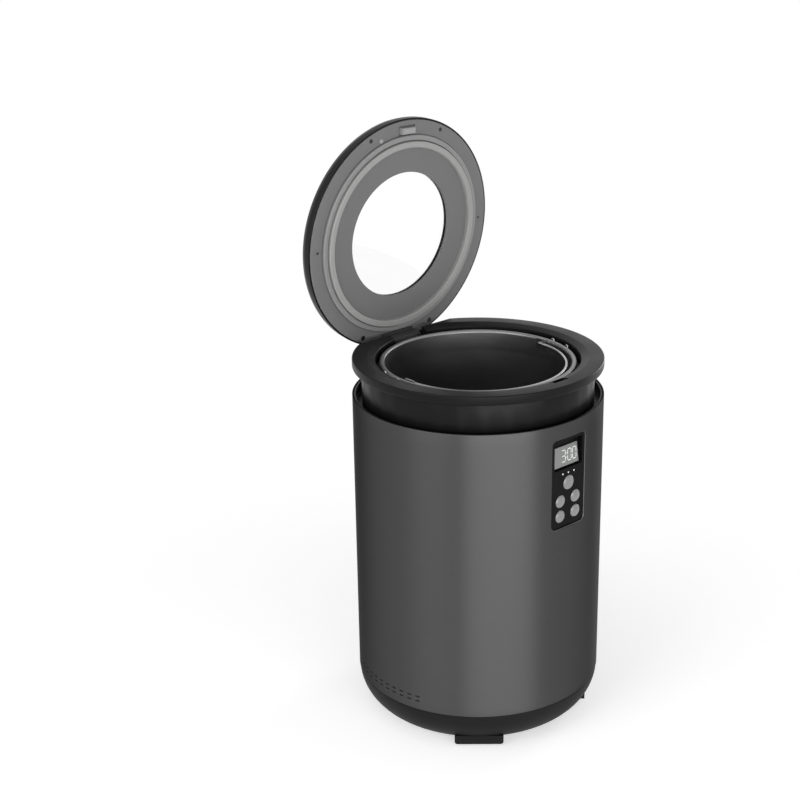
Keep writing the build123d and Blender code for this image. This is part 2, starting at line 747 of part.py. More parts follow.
tray_wall = 1.6
tray_front = case_front + case_wall + gap
with BuildPart() as filter_drawer:
    with BuildSketch(Plane.XY.offset(tray_low)):
        Circle(door_in_r)
        with Locations((-tray_half, 0)):
            Rectangle(2 * body_r, 4 * body_r, align=(Align.MAX, Align.CENTER), mode=Mode.SUBTRACT)
        with Locations((tray_half, 0)):
            Rectangle(2 * body_r, 4 * body_r, align=(Align.MIN, Align.CENTER), mode=Mode.SUBTRACT)
        with Locations((0, tray_front)):
            Rectangle(4 * body_r, 4 * body_r, align=(Align.CENTER, Align.MAX), mode=Mode.SUBTRACT)
    extrude(amount=tray_high - tray_low)
    with Locations((0, tray_front + tray_wall, tray_low + tray_wall)):
        Box(
            2 * (tray_half - tray_wall),
            62.0,
            100.0,
            align=(Align.CENTER, Align.MIN, Align.MIN),
            mode=Mode.SUBTRACT,
        )
    with Locations((fan_x - fan_r + 12.0, tray_front, (fan_low + fan_high) / 2)):
        Box(20.4, 10.0, fan_high - fan_low - 3.6, mode=Mode.SUBTRACT)
    with Locations([(x, sleeve_in_r - 3.5, 80.0) for x in range(-28, 29, 8)]):
        Box(3.2, 40.0, 26.0, mode=Mode.SUBTRACT)

with BuildPart() as carbon_pad:
    with Locations((0, tray_front + tray_wall + gap, tray_low + tray_wall + lip)):
        Box(
            2 * (tray_half - tray_wall - gap),
            61.4,
            tray_high - tray_low - tray_wall - 6.0,
            align=(Align.CENTER, Align.MIN, Align.MIN),
        )

with BuildPart() as filter_door:
    with BuildSketch(Plane.XY.offset(door_low)):
        Circle(body_r)
        Circle(door_in_r, mode=Mode.SUBTRACT)
        with Locations((-door_half, 0)):
            Rectangle(2 * body_r, 4 * body_r, align=(Align.MAX, Align.CENTER), mode=Mode.SUBTRACT)
        with Locations((door_half, 0)):
            Rectangle(2 * body_r, 4 * body_r, align=(Align.MIN, Align.CENTER), mode=Mode.SUBTRACT)
        with Locations((0, 0)):
            Rectangle(4 * body_r, 4 * body_r, align=(Align.CENTER, Align.MAX), mode=Mode.SUBTRACT)
    extrude(amount=door_high - door_low)
    with Locations([(x, body_r, 80.0) for x in range(-28, 29, 8)]):
        Box(3.2, 20.0, 26.0, mode=Mode.SUBTRACT)
    with Locations((0, body_r + 1.5, door_high)):
        Box(34.0, 6.0, 12.0, mode=Mode.SUBTRACT)

# ---------------- electronics ----------------
board_wide = 98.0
board_tall = 78.0
board_t = 1.6
board_face = -(body_r - 33.6)
with BuildPart() as control_board:
    with Locations((0, board_face - board_t, floor_top + gap)):
        Box(board_wide, board_t, board_tall, align=(Align.CENTER, Align.MIN, Align.MIN))

with BuildPart() as board_parts:
    with Locations((30.0, board_face, 30.0)):
        Box(24.0, 20.0, 22.0, align=(Align.CENTER, Align.MIN, Align.CENTER))
    with Locations((30.0, board_face, 62.0)):
        Box(19.0, 15.0, 15.0, align=(Align.CENTER, Align.MIN, Align.CENTER))
    with Locations((2.0, board_face, 34.0)):
        Box(16.0, 9.0, 12.0, align=(Align.CENTER, Align.MIN, Align.CENTER))
    with Locations((-24.0, board_face, 30.0)):
        Box(26.0, 4.0, 20.0, align=(Align.CENTER, Align.MIN, Align.CENTER))
    with Locations(Location((-30.0, board_face, 62.0), (-90, 0, 0))):
        Cylinder(6.0, 12.0, align=(Align.CENTER, Align.CENTER, Align.MIN))

with BuildPart() as panel_face:
    with BuildSketch(Plane.XZ.offset(-panel_back)):
        with Locations((0, (panel_low + panel_high) / 2)):
            RectangleRounded(2 * panel_half, panel_high - panel_low, panel_corner)
    extrude(amount=panel_back - panel_y)
    with BuildSketch(Plane.XZ.offset(-tub_back - tub_wall * -1 - 2 * tub_wall)):
        with Locations((0, (recess_low + recess_high) / 2)):
            Rectangle(2 * (recess_half + tub_wall), recess_high - recess_low + 2 * tub_wall)
    extrude(amount=tub_back - panel_back + tub_wall + lip)
    with BuildSketch(Plane.XZ.offset(-tub_back)):
        with Locations((0, (recess_low + recess_high) / 2)):
            RectangleRounded(2 * recess_half, recess_high - recess_low, 1.5)
    extrude(amount=20, mode=Mode.SUBTRACT)
    for spot_x, spot_z, spot_r in button_spots.values():
        with BuildSketch(Plane.XZ.offset(-panel_back - 10)):
            with Locations((spot_x, spot_z)):
                Circle(spot_r + gap)
        extrude(amount=20, mode=Mode.SUBTRACT)
    with BuildSketch(Plane.XZ.offset(-panel_back - 10)):
        with Locations([(x, light_z) for x in light_x]):
            Circle(light_r)
    extrude(amount=20, mode=Mode.SUBTRACT)
    with BuildSketch(Plane.XZ.offset(-board_front + gap)):
        with Locations([(x, z) for x in (-19.2, 19.2) for z in (227.0, 256.5)]):
            Circle(1.8)
    extrude(amount=board_front - panel_back - gap + lip)

lcd_middle = (0, panel_y + 3.8, 290.6)
with BuildPart() as lcd_panel:
    with Locations(Location(lcd_middle, (-8, 0, 0))):
        Box(32.0, 1.2, 18.8)

with BuildPart() as indicator_lights:
    with BuildSketch(Plane.XZ.offset(-board_front + gap)):
        with Locations([(x, light_z) for x in light_x]):
            Circle(light_r)
    extrude(amount=board_front - gap - panel_y + 0.2)

with BuildPart() as display_board:
    with BuildSketch(Plane.XZ.offset(-board_back)):
        with Locations((0, (panel_low + panel_high) / 2)):
            Rectangle(2 * panel_half - 2.0, panel_high - panel_low - 6.0)
    extrude(amount=board_back - board_front)

with BuildPart() as tact_switches:
    with BuildSketch(Plane.XZ.offset(-board_front)):
        with Locations([(x, z) for x, z, r in button_spots.values()]):
            Rectangle(6.0, 6.0)
    extrude(amount=0.9)

buttons = {}
for name, (spot_x, spot_z, spot_r) in button_spots.items():
    with BuildPart() as button:
        with BuildSketch(Plane.XZ.offset(-panel_back - 0.6)):
            with Locations((spot_x, spot_z)):
                Circle(spot_r)
        extrude(amount=panel_back - 0.6 - button_face + 1.2)
        fillet(button.edges().filter_by(GeomType.CIRCLE).sort_by(Axis.Y)[0], 0.5)
        with BuildSketch(Plane.XZ.offset(-panel_back - gap - 1.2)):
            with Locations((spot_x, spot_z)):
                Circle(spot_r + 1.0)
        extrude(amount=1.2)
        with BuildSketch(Plane.XZ.offset(-button_end)):
            with Locations((spot_x, spot_z)):
                Circle(2.5)
        extrude(amount=3.0)
    buttons[name] = button

inlet_back = body_r - 28.0
inlet_floor = body_r - 18.0
prong_spots = ((-7.0, -2.0), (7.0, -2.0), (0.0, 3.0))
with BuildPart() as ac_inlet:
    with Locations((0, inlet_back, inlet_z)):
        Box(27.0, 23.0, 20.0, align=(Align.CENTER, Align.MIN, Align.CENTER))
    with Locations((0, inlet_back + 22.8, inlet_z)):
        Box(31.0, 2.0, 24.0, align=(Align.CENTER, Align.MIN, Align.CENTER))
    with Locations((0, inlet_back + 23.0, inlet_z)):
        Box(26.8, 4.0, 19.8, align=(Align.CENTER, Align.MIN, Align.CENTER))
    with Locations((0, inlet_floor, inlet_z)):
        Box(23.0, 20.0, 15.6, align=(Align.CENTER, Align.MIN, Align.CENTER), mode=Mode.SUBTRACT)
    with Locations([(x, inlet_floor, inlet_z + z) for x, z in prong_spots]):
        Box(2.0, 12.0, 4.0, mode=Mode.SUBTRACT)

with BuildPart() as inlet_pins:
    with Locations([(x, inlet_floor - 6.0, inlet_z + z) for x, z in prong_spots]):
        Box(2.0, 19.0, 4.0, align=(Align.CENTER, Align.MIN, Align.CENTER))

# ---------------- bucket ----------------
with BuildPart() as bucket:
    with BuildSketch(Plane.XZ):
        with BuildLine():
            Polyline(
                (bush_r, bucket_low),
                (bucket_foot_r - 6, bucket_low),
                (bucket_foot_r, bucket_low + 6),
                (bucket_r, bucket_straight),
                (bucket_r, bead_z),
                (bucket_in, bead_z),
                (bucket_in, bucket_straight),
                (bucket_foot_r - bucket_wall, bucket_low + 6.6),
                (bucket_foot_r - 6.6, bucket_floor),
                (bush_r, bucket_floor),
                close=True,
            )
        make_face()
    revolve(axis=Axis.Z)
    with BuildSketch(Plane.XZ):
        with Locations((bead_x, bead_z)):
            Circle(bead_r)
    revolve(axis=Axis.Z)

ear_width = 12.0
ear_out = math.sqrt(bucket_in**2 - (ear_width / 2) ** 2) - lip
with BuildPart() as bucket_ears:
    with Locations([(s * (ear_in + ear_out) / 2, 0, bail_z - 1.5) for s in (-1, 1)]):
        Box(ear_out - ear_in, ear_width, 11.0)
    with BuildSketch(Plane.YZ.offset(-body_r)):
        with Locations((0, bail_z)):
            Circle(wire_r + run_gap)
    extrude(amount=2 * body_r, mode=Mode.SUBTRACT)

bail_end = ear_out - 0.7
with BuildPart() as bail_handle:
    with BuildSketch(Plane.XZ):
        with Locations((bail_x, bail_z)):
            Circle(wire_r)
    revolve(axis=Axis.Z)
    Box(4 * bail_x, 4 * bail_x, 4 * bail_z, align=(Align.CENTER, Align.MIN, Align.CENTER), mode=Mode.SUBTRACT)
    for side in (-1, 1):
        with BuildSketch(Plane.YZ.offset(side * (bail_x - wire_r))):
            with Locations((0, bail_z)):
                Circle(wire_r)
        extrude(amount=side * (bail_end - bail_x + wire_r))

bush_top = bucket_floor + 18.0
with BuildPart() as bucket_bush:
    with BuildSketch(Plane.XY.offset(bucket_low)):
        Circle(bush_r)
        Circle(stub_r + run_gap, mode=Mode.SUBTRACT)
    extrude(amount=bush_top - bucket_low)
    with BuildSketch(Plane.XY.offset(bucket_floor)):
        Circle(bush_r + 3.0)
        Circle(stub_r + run_gap, mode=Mode.SUBTRACT)
    extrude(amount=1.6)

stub_low = dog_low + 1.6 + 0.4
hub_top = bush_top + 22.0
stub_top = hub_top - 8.0
blade_low = bucket_floor + 2.0
blade_top = bucket_floor + 22.0
upper_low = blade_top + 2.0
upper_top = upper_low + 12.0
blade_r = bucket_foot_r - 8.0
upper_r = blade_r - 18.0
with BuildPart() as agitator_shaft:
    with Locations((0, 0, stub_low)):
        Cylinder(stub_r, stub_top - stub_low, align=(Align.CENTER, Align.CENTER, Align.MIN))
        Box(20.0, 3.8, 4.4, align=(Align.CENTER, Align.CENTER, Align.MIN), mode=Mode.SUBTRACT)

with BuildPart() as agitator:
    with BuildSketch(Plane.XY.offset(bush_top - 14.0)):
        Circle(18.0)
        Circle(bush_r + 0.6, mode=Mode.SUBTRACT)
    extrude(amount=16.0)
    with BuildSketch(Plane.XY.offset(bush_top + 0.5)):
        Circle(18.0)
        Circle(stub_r, mode=Mode.SUBTRACT)
    extrude(amount=hub_top - bush_top - 0.5)
    with BuildSketch(Plane.XY.offset(stub_top)):
        Circle(17.0)
    extrude(amount=hub_top - stub_top)
    fillet(agitator.edges().filter_by(GeomType.CIRCLE).sort_by(Axis.Z)[-1], 5.0)
    for turn in (0, 180):
        with BuildSketch(Plane.XY.offset(blade_low)):
            with BuildLine():
                Polyline(*bladeOutline(turn, 15.0, blade_r, 9.0, 38), close=True)
            make_face()
        extrude(amount=blade_top - blade_low)
    for turn in (90, 270):
        with BuildSketch(Plane.XY.offset(upper_low)):
            with BuildLine():
                Polyline(*bladeOutline(turn, 15.0, upper_r, 9.0, 30), close=True)
            make_face()
        extrude(amount=upper_top - upper_low)

# ---------------- lid, modelled closed and then swung open ----------------
lid_screw_r = plate_r - 4.9
lid_screw_x = 0.408 * lid_screw_r
lid_screw_y = math.sqrt(lid_screw_r**2 - lid_screw_x**2)
lid_screw_spots = [(x, y) for y in (-lid_screw_y, lid_screw_y) for x in (-lid_screw_x, lid_screw_x)]
lid_screw_spots += [(side * (plate_r - 8.4), 0) for side in (-1, 1)]
with BuildPart() as lid_plate:
    with BuildSketch(Plane.XY.offset(lid_low)):
        Circle(plate_r)
        Circle(window_r, mode=Mode.SUBTRACT)
        with Locations((0, keeper_y)):
            Rectangle(17.0, 7.4, mode=Mode.SUBTRACT)
    extrude(amount=plate_t)
    with Locations([(x, y, lid_low) for x, y in lid_screw_spots]):
        Cylinder(2.7, 2.0, mode=Mode.SUBTRACT)
        Cylinder(1.5, 20.0, mode=Mode.SUBTRACT)

shell_top = lid_low + lid_h
dish_top = shell_top - 6.1
dish_r = window_r + 16.0
glass_r = window_r + 4.0
glass_low = lid_low + plate_t
glass_t = 2.5
with BuildPart() as lid_shell:
    with BuildSketch(Plane.XZ):
        with BuildLine():
            Polyline(
                (plate_r + gap, lid_low + 0.5),
                (lid_r, lid_low + 0.5),
                (lid_r - 0.9, shell_top - 5.0),
                (lid_r - 2.4, shell_top - 1.8),
                (lid_r - 6.0, shell_top),
                (lid_r - 13.0, shell_top),
                (dish_r, dish_top),
                (window_r + 0.5, dish_top),
                (window_r + 0.5, glass_low + glass_t + gap),
                (dish_r + 2.0, glass_low + glass_t + gap),
                (lid_r - 16.0, shell_top - 2.2),
                (lid_r - 6.0, shell_top - 2.2),
                (plate_r + gap, shell_top - 5.5),
                close=True,
            )
        make_face()
    revolve(axis=Axis.Z)
    with Locations([(x, y, lid_low + plate_t + lip) for x, y in lid_screw_spots]):
        Cylinder(3.5, 9.2, align=(Align.CENTER, Align.CENTER, Align.MIN))
        Cylinder(1.5, 5.6, align=(Align.CENTER, Align.CENTER, Align.MIN), mode=Mode.SUBTRACT)

with BuildPart() as lid_screws:
    with Locations([(x, y, lid_low + 0.2) for x, y in lid_screw_spots]):
        Cylinder(2.6, 0.8, align=(Align.CENTER, Align.CENTER, Align.MIN))
        Cylinder(1.5, 8.0, align=(Align.CENTER, Align.CENTER, Align.MIN))

with BuildPart() as lid_window:
    with BuildSketch(Plane.XY.offset(glass_low)):
        Circle(glass_r)
    extrude(amount=glass_t)

with BuildPart() as lid_seal:
    with BuildSketch(Plane.XZ):
        with BuildLine():
            Polyline(
                (seal_r, lid_low),
                (seal_r, lid_low - 1.8),
                (seal_r - 0.9, lid_low - 2.3),
                (seal_r - 5.1, lid_low - 2.3),
                (seal_r - 5.7, lid_low - seal_drop),
                (seal_r - 10.5, lid_low - seal_drop),
                (seal_r - 11.5, lid_low - 3.6),
                (seal_r - 11.5, lid_low),
                close=True,
            )
        make_face()
    revolve(axis=Axis.Z)

with BuildPart() as lid_keeper:
    with Locations((0, keeper_y, lid_low - 4.0)):
        Box(15.6, 6.2, 4.0 + plate_t, align=(Align.CENTER, Align.CENTER, Align.MIN))
    fillet(lid_keeper.edges().filter_by(Axis.X).group_by(Axis.Z)[0], 1.2)
    with Locations((0, keeper_y, glass_low)):
        Box(22.0, 9.0, 2.0, align=(Align.CENTER, Align.CENTER, Align.MIN))

with BuildPart() as lid_hinge:
    with BuildSketch(Plane.YZ):
        with Locations((hinge_y, hinge_z)):
            Circle(barrel_r)
            Rectangle(2 * barrel_r, lid_low - hinge_z, align=(Align.CENTER, Align.MIN))
            Circle(pin_r + run_gap, mode=Mode.SUBTRACT)
        with Locations((leaf_y, lid_low)):
            Rectangle(hinge_y + barrel_r - leaf_y, leaf_t, align=(Align.MIN, Align.MAX))
    extrude(amount=knuckle_half, both=True)

swing = Axis((0, hinge_y, hinge_z), (1, 0, 0))
lid_pieces = {
    "lid_plate": lid_plate,
    "lid_shell": lid_shell,
    "lid_screws": lid_screws,
    "lid_window": lid_window,
    "lid_seal": lid_seal,
    "lid_keeper": lid_keeper,
    "lid_hinge": lid_hinge,
}
for piece in lid_pieces.values():
    piece.part = piece.part.rotate(swing, -open_angle)

pieces = {
    "outer_sleeve": outer_sleeve,
    "trim_ring": trim_ring,
    "base_shell": base_shell,
    "rubber_feet": rubber_feet,
    "base_screws": base_screws,
    "deck": deck,
    "inner_drum": inner_drum,
    "upper_collar": upper_collar,
    "rim_bezel": rim_bezel,
    "lid_sensor": lid_sensor,
    "hinge_pin": hinge_pin,
    "heating_pot": heating_pot,
    "heater_plate": heater_plate,
    "temp_sensor": temp_sensor,
    "insulation": insulation,
    "pot_bearing": pot_bearing,
    "gearbox_pan": gearbox_pan,
    "gearbox_cover": gearbox_cover,
    "gear_bushes": gear_bushes,
    "idler_pin": idler_pin,
    "motor_can": motor_can,
    "gearbox_screws": gearbox_screws,
    "output_gear": output_gear,
    "output_shaft": output_shaft,
    "idler_gear": idler_gear,
    "motor_pinion": motor_pinion,
    "blower_case": blower_case,
    "blower_rotor": blower_rotor,
    "air_duct": air_duct,
    "filter_case": filter_case,
    "filter_drawer": filter_drawer,
    "carbon_pad": carbon_pad,
    "filter_door": filter_door,
    "control_board": control_board,
    "board_parts": board_parts,
    "panel_face": panel_face,
    "lcd_panel": lcd_panel,
    "indicator_lights": indicator_lights,
    "display_board": display_board,
    "tact_switches": tact_switches,
    "ac_inlet": ac_inlet,
    "inlet_pins": inlet_pins,
    "bucket": bucket,
    "bucket_ears": bucket_ears,
    "bail_handle": bail_handle,
    "bucket_bush": bucket_bush,
    "agitator_shaft": agitator_shaft,
    "agitator": agitator,
    **buttons,
    **lid_pieces,
}
for name, piece in pieces.items():
    piece.part.label = name
    export_step(piece.part, f"parts/{name}.step")
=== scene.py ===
import json
import math

import bmesh
import bpy
from mathutils import Matrix, Vector


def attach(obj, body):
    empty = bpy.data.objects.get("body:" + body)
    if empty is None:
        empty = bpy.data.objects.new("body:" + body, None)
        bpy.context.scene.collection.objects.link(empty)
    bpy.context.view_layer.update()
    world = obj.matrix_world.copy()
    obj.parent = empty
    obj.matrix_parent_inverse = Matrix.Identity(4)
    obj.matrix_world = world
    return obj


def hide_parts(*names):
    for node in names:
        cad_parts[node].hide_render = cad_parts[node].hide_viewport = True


print("loading the frame")
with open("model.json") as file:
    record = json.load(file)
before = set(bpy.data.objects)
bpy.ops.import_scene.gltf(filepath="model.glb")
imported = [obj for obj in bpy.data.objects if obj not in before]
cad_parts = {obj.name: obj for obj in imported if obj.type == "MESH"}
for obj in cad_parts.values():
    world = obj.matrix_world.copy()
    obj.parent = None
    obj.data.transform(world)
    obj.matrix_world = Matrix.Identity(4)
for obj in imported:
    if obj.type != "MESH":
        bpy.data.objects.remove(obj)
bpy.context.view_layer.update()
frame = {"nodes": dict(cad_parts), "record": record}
nodes = frame["nodes"]
mm = 0.001
hingeLine = Vector((0.0, 106.3, 351.2)) * mm
openAngle = math.radians(84.5)
viewAzimuth = -44.5  # degrees, from straight in front


# ---- surface finishes ----
unrolledRadius = 0.12  # metres, at which grain that runs round keeps its size
noiseLow, noiseHigh = 0.3, 0.7  # the stretch that most of a noise lies in


def addNode(tree, kind, values=None, **settings):
    node = tree.nodes.new(kind)
    for key, value in settings.items():
        setattr(node, key, value)
    for key, value in (values or {}).items():
        node.inputs[key].default_value = value
    return node


def maths(tree, operation, first, second=None):
    node = addNode(tree, "ShaderNodeMath", operation=operation)
    for slot, value in enumerate((first, second)):
        if value is None:
            continue
        if isinstance(value, (int, float)):
            node.inputs[slot].default_value = value
        else:
            tree.links.new(value, node.inputs[slot])
    return node.outputs[0]


def remap(tree, value, start, end, low=0.0, high=1.0):
    # spreads the stretch from start to end over low to high
    node = addNode(
        tree, "ShaderNodeMapRange", {"From Min": start, "From Max": end, "To Min": low, "To Max": high}
    )
    tree.links.new(value, node.inputs["Value"])
    return node.outputs[0]


def newMaterial(name):
    mat = bpy.data.materials.new(name)
    mat.use_nodes = True
    return mat, mat.node_tree, mat.node_tree.nodes["Principled BSDF"]


def grainCoords(tree, run, stretch):
    # where a grain point sits: straight through space, or unrolled about the upright axis
    source = addNode(tree, "ShaderNodeTexCoord").outputs["Object"]
    if run == "space":
        scale = addNode(tree, "ShaderNodeMapping", {"Scale": stretch})
        tree.links.new(source, scale.inputs["Vector"])
        return scale.outputs[0]
    parts = addNode(tree, "ShaderNodeSeparateXYZ")
    tree.links.new(source, parts.inputs[0])
    x, y, z = parts.outputs
    angle = maths(tree, "ARCTAN2", y, x)
    square = maths(tree, "ADD", maths(tree, "MULTIPLY", x, x), maths(tree, "MULTIPLY", y, y))
    radius = maths(tree, "SQRT", square)
    joined = addNode(tree, "ShaderNodeCombineXYZ")
    tree.links.new(maths(tree, "MULTIPLY", angle, unrolledRadius * stretch[0]), joined.inputs[0])
    tree.links.new(maths(tree, "MULTIPLY", radius, stretch[1]), joined.inputs[1])
    tree.links.new(maths(tree, "MULTIPLY", z, stretch[2]), joined.inputs[2])
    return joined.outputs[0]


def finish(name, look):
    mat, tree, shader = newMaterial(name)
    shader.inputs["Metallic"].default_value = look.get("metal", 0.0)
    for socket, value in look.get("sockets", {}).items():
        shader.inputs[socket].default_value = value
    coords = grainCoords(tree, look.get("run", "space"), look.get("stretch", (1, 1, 1)))
    grain = addNode(
        tree, "ShaderNodeTexNoise", {"Scale": look["grain"], "Detail": 4.0, "Roughness": 0.6}
    )
    tree.links.new(coords, grain.inputs["Vector"])
    cloud = addNode(
        tree, "ShaderNodeTexNoise", {"Scale": look.get("cloud", 14.0), "Detail": 3.0, "Roughness": 0.55}
    )
    tree.links.new(addNode(tree, "ShaderNodeTexCoord").outputs["Object"], cloud.inputs["Vector"])
    colour = look["colour"]
    swing = look.get("swing", 0.12)
    blend = addNode(tree, "ShaderNodeMix", data_type="RGBA")
    blend.inputs[6].default_value = (*[c * (1 - swing) for c in colour], 1)
    blend.inputs[7].default_value = (*[min(1.0, c * (1 + swing)) for c in colour], 1)
    spread = remap(tree, grain.outputs["Fac"], noiseLow, noiseHigh)
    tree.links.new(spread, blend.inputs["Factor"])
    tree.links.new(blend.outputs[2], shader.inputs["Base Color"])
    rough = look["rough"]
    drift = look.get("drift", 0.06)
    broad = remap(tree, cloud.outputs["Fac"], noiseLow, noiseHigh, rough - drift, rough + drift)
    fine = remap(tree, grain.outputs["Fac"], noiseLow, noiseHigh, -drift / 2, drift / 2)
    tree.links.new(maths(tree, "ADD", broad, fine), shader.inputs["Roughness"])
    if look.get("bump"):
        bump = addNode(
            tree, "ShaderNodeBump", {"Strength": look.get("press", 0.4), "Distance": look["bump"] * mm}
        )
        tree.links.new(grain.outputs["Fac"], bump.inputs["Height"])
        tree.links.new(bump.outputs[0], shader.inputs["Normal"])
    if look.get("around"):
        tangent = addNode(tree, "ShaderNodeTangent", direction_type="RADIAL", axis=look["around"])
        tree.links.new(tangent.outputs[0], shader.inputs["Tangent"])
    return mat


print("mixing the finishes")
looks = {
    "sleeveSteel": {
        "colour": (0.084, 0.084, 0.084), "metal": 1.0, "rough": 0.46, "drift": 0.015, "swing": 0.05,
        "run": "up", "stretch": (0.02, 1.0, 1.0), "grain": 2200, "bump": 0.012, "press": 0.2,
        "around": "Z", "sockets": {
            "Anisotropic": 0.88, "Anisotropic Rotation": 0.25, "Specular Tint": (0.3, 0.3, 0.3, 1),
        },
    },
    "blackGloss": {
        "colour": (0.008, 0.008, 0.008), "rough": 0.30, "drift": 0.05, "grain": 2200, "bump": 0.012,
        "press": 0.3, "cloud": 30.0, "sockets": {"Specular IOR Level": 0.14},
    },
    "panelBlack": {
        "colour": (0.006, 0.006, 0.006), "rough": 0.34, "drift": 0.05, "grain": 2200, "bump": 0.01,
        "press": 0.2, "cloud": 30.0, "sockets": {"Specular IOR Level": 0.05},
    },
    # dark grey: partly the hinge's own tone, partly painted shade for the rim's notch it sits in
    "hingeGreyAndShade": {
        "colour": (0.045, 0.045, 0.045), "rough": 0.5, "drift": 0.05, "grain": 2600, "bump": 0.02,
        "press": 0.3, "sockets": {"Specular IOR Level": 0.2},
    },
    "blackSatin": {
        "colour": (0.007, 0.007, 0.007), "rough": 0.38, "drift": 0.05, "grain": 2600, "bump": 0.02,
        "press": 0.35, "cloud": 26.0, "sockets": {"Specular IOR Level": 0.12},
    },
    "blackMatt": {
        "colour": (0.010, 0.010, 0.010), "rough": 0.58, "drift": 0.06, "grain": 1800, "bump": 0.05,
        "press": 0.4, "sockets": {"Specular IOR Level": 0.12},
    },
    "greyMoulded": {
        "colour": (0.18, 0.18, 0.18), "rough": 0.6, "drift": 0.05, "swing": 0.05, "grain": 2600,
        "bump": 0.02, "press": 0.3, "cloud": 20.0, "sockets": {"Specular IOR Level": 0.25},
    },
    "greySeal": {
        "colour": (0.33, 0.33, 0.325), "rough": 0.6, "drift": 0.05, "swing": 0.05, "grain": 1500,
        "bump": 0.03, "press": 0.3, "sockets": {"Sheen Weight": 0.15},
    },
    "sealDark": {
        "colour": (0.26, 0.26, 0.26), "rough": 0.6, "drift": 0.05, "swing": 0.05, "grain": 1500,
        "bump": 0.03, "press": 0.3,
    },
    "blackRubber": {
        "colour": (0.012, 0.012, 0.012), "rough": 0.75, "drift": 0.06, "grain": 1500, "bump": 0.06,
        "sockets": {"Sheen Weight": 0.05, "Specular IOR Level": 0.15},
    },
    "bucketSteel": {
        "colour": (0.22, 0.22, 0.22), "metal": 1.0, "rough": 0.36, "drift": 0.04, "swing": 0.10,
        "run": "up", "stretch": (0.02, 1.0, 1.0), "grain": 2400, "bump": 0.02, "press": 0.3,
        "around": "Z", "sockets": {"Anisotropic": 0.4},
    },
    "potCoating": {
        "colour": (0.030, 0.030, 0.030), "rough": 0.5, "drift": 0.06, "grain": 1500, "bump": 0.04,
    },
    "brightSteel": {
        "colour": (0.40, 0.40, 0.40), "metal": 1.0, "rough": 0.22, "drift": 0.04, "grain": 900,
    },
    "keeperGrey": {
        "colour": (0.34, 0.34, 0.34), "rough": 0.45, "drift": 0.05, "swing": 0.05, "grain": 2600,
        "bump": 0.01, "sockets": {"Specular IOR Level": 0.3},
    },
    "edgeSteel": {
        "colour": (0.13, 0.13, 0.13), "metal": 1.0, "rough": 0.45, "drift": 0.04, "grain": 1200,
    },
    "darkScrew": {
        "colour": (0.05, 0.05, 0.05), "metal": 1.0, "rough": 0.38, "drift": 0.06, "grain": 900,
    },
    "castAlloy": {
        "colour": (0.46, 0.46, 0.47), "metal": 1.0, "rough": 0.45, "drift": 0.06, "swing": 0.12,
        "grain": 900, "bump": 0.06,
    },
    "sheetSteel": {
        "colour": (0.48, 0.49, 0.50), "metal": 1.0, "rough": 0.42, "drift": 0.08, "swing": 0.12,
        "grain": 160, "cloud": 60.0,
    },
    "gearSteel": {
        "colour": (0.40, 0.40, 0.41), "metal": 1.0, "rough": 0.34, "drift": 0.06, "swing": 0.1,
        "run": "up", "stretch": (0.05, 1.0, 1.0), "grain": 1800, "bump": 0.02,
    },
    "sinteredBronze": {
        "colour": (0.46, 0.27, 0.10), "metal": 1.0, "rough": 0.45, "drift": 0.05, "swing": 0.2,
        "grain": 2200, "bump": 0.04,
    },
    "circuitGreen": {
        "colour": (0.010, 0.085, 0.030), "rough": 0.35, "drift": 0.05, "swing": 0.3, "grain": 420,
    },
    "componentBlack": {
        "colour": (0.022, 0.022, 0.024), "rough": 0.5, "drift": 0.08, "grain": 1300, "bump": 0.04,
    },
    "keyGrey": {
        "colour": (0.225, 0.225, 0.225), "rough": 0.30, "drift": 0.04, "swing": 0.05, "grain": 2600,
        "bump": 0.008, "sockets": {"Coat Weight": 0.25, "Coat Roughness": 0.15},
    },
    "woolFelt": {
        "colour": (0.60, 0.56, 0.46), "rough": 0.95, "drift": 0.04, "swing": 0.25, "grain": 700,
        "bump": 0.6, "sockets": {"Sheen Weight": 0.5},
    },
    "carbonPad": {
        "colour": (0.020, 0.020, 0.020), "rough": 0.9, "drift": 0.08, "swing": 0.7, "grain": 650,
        "bump": 0.7,
    },
}
finishes = {name: finish(name, look) for name, look in looks.items()}


def clearGlass():
    # clear pane with wiping marks
    mat, tree, shader = newMaterial("paneGlass")
    shader.inputs["Base Color"].default_value = (1, 1, 1, 1)
    shader.inputs["Specular IOR Level"].default_value = 0.08
    shader.inputs["Transmission Weight"].default_value = 1.0
    shader.inputs["IOR"].default_value = 1.25
    marks = addNode(tree, "ShaderNodeTexNoise", {"Scale": 40.0, "Detail": 5.0})
    tree.links.new(remap(tree, marks.outputs["Fac"], 0.4, 0.8, 0.0, 0.05), shader.inputs["Roughness"])
    return mat


def glowing(name, colour, strength, rough=0.4):
    # a lit face with a fine screen grain
    mat, tree, shader = newMaterial(name)
    shader.inputs["Roughness"].default_value = rough
    grain = addNode(tree, "ShaderNodeTexNoise", {"Scale": 900.0, "Detail": 2.0})
    mix = addNode(tree, "ShaderNodeMix", data_type="RGBA")
    mix.inputs[6].default_value = (*[c * 0.92 for c in colour], 1)
    mix.inputs[7].default_value = (*colour, 1)
    tree.links.new(grain.outputs["Fac"], mix.inputs["Factor"])
    tree.links.new(mix.outputs[2], shader.inputs["Base Color"])
    tree.links.new(mix.outputs[2], shader.inputs["Emission Color"])
    shader.inputs["Emission Strength"].default_value = strength
    return mat


finishes["paneGlass"] = clearGlass()
finishes["displayGrey"] = glowing("displayGrey", (0.20, 0.205, 0.20), 0.12)
finishes["digitWhite"] = glowing("digitWhite", (0.72, 0.73, 0.72), 0.3)
finishes["lampWhite"] = glowing("lampWhite", (0.80, 0.80, 0.78), 0.35, 0.2)

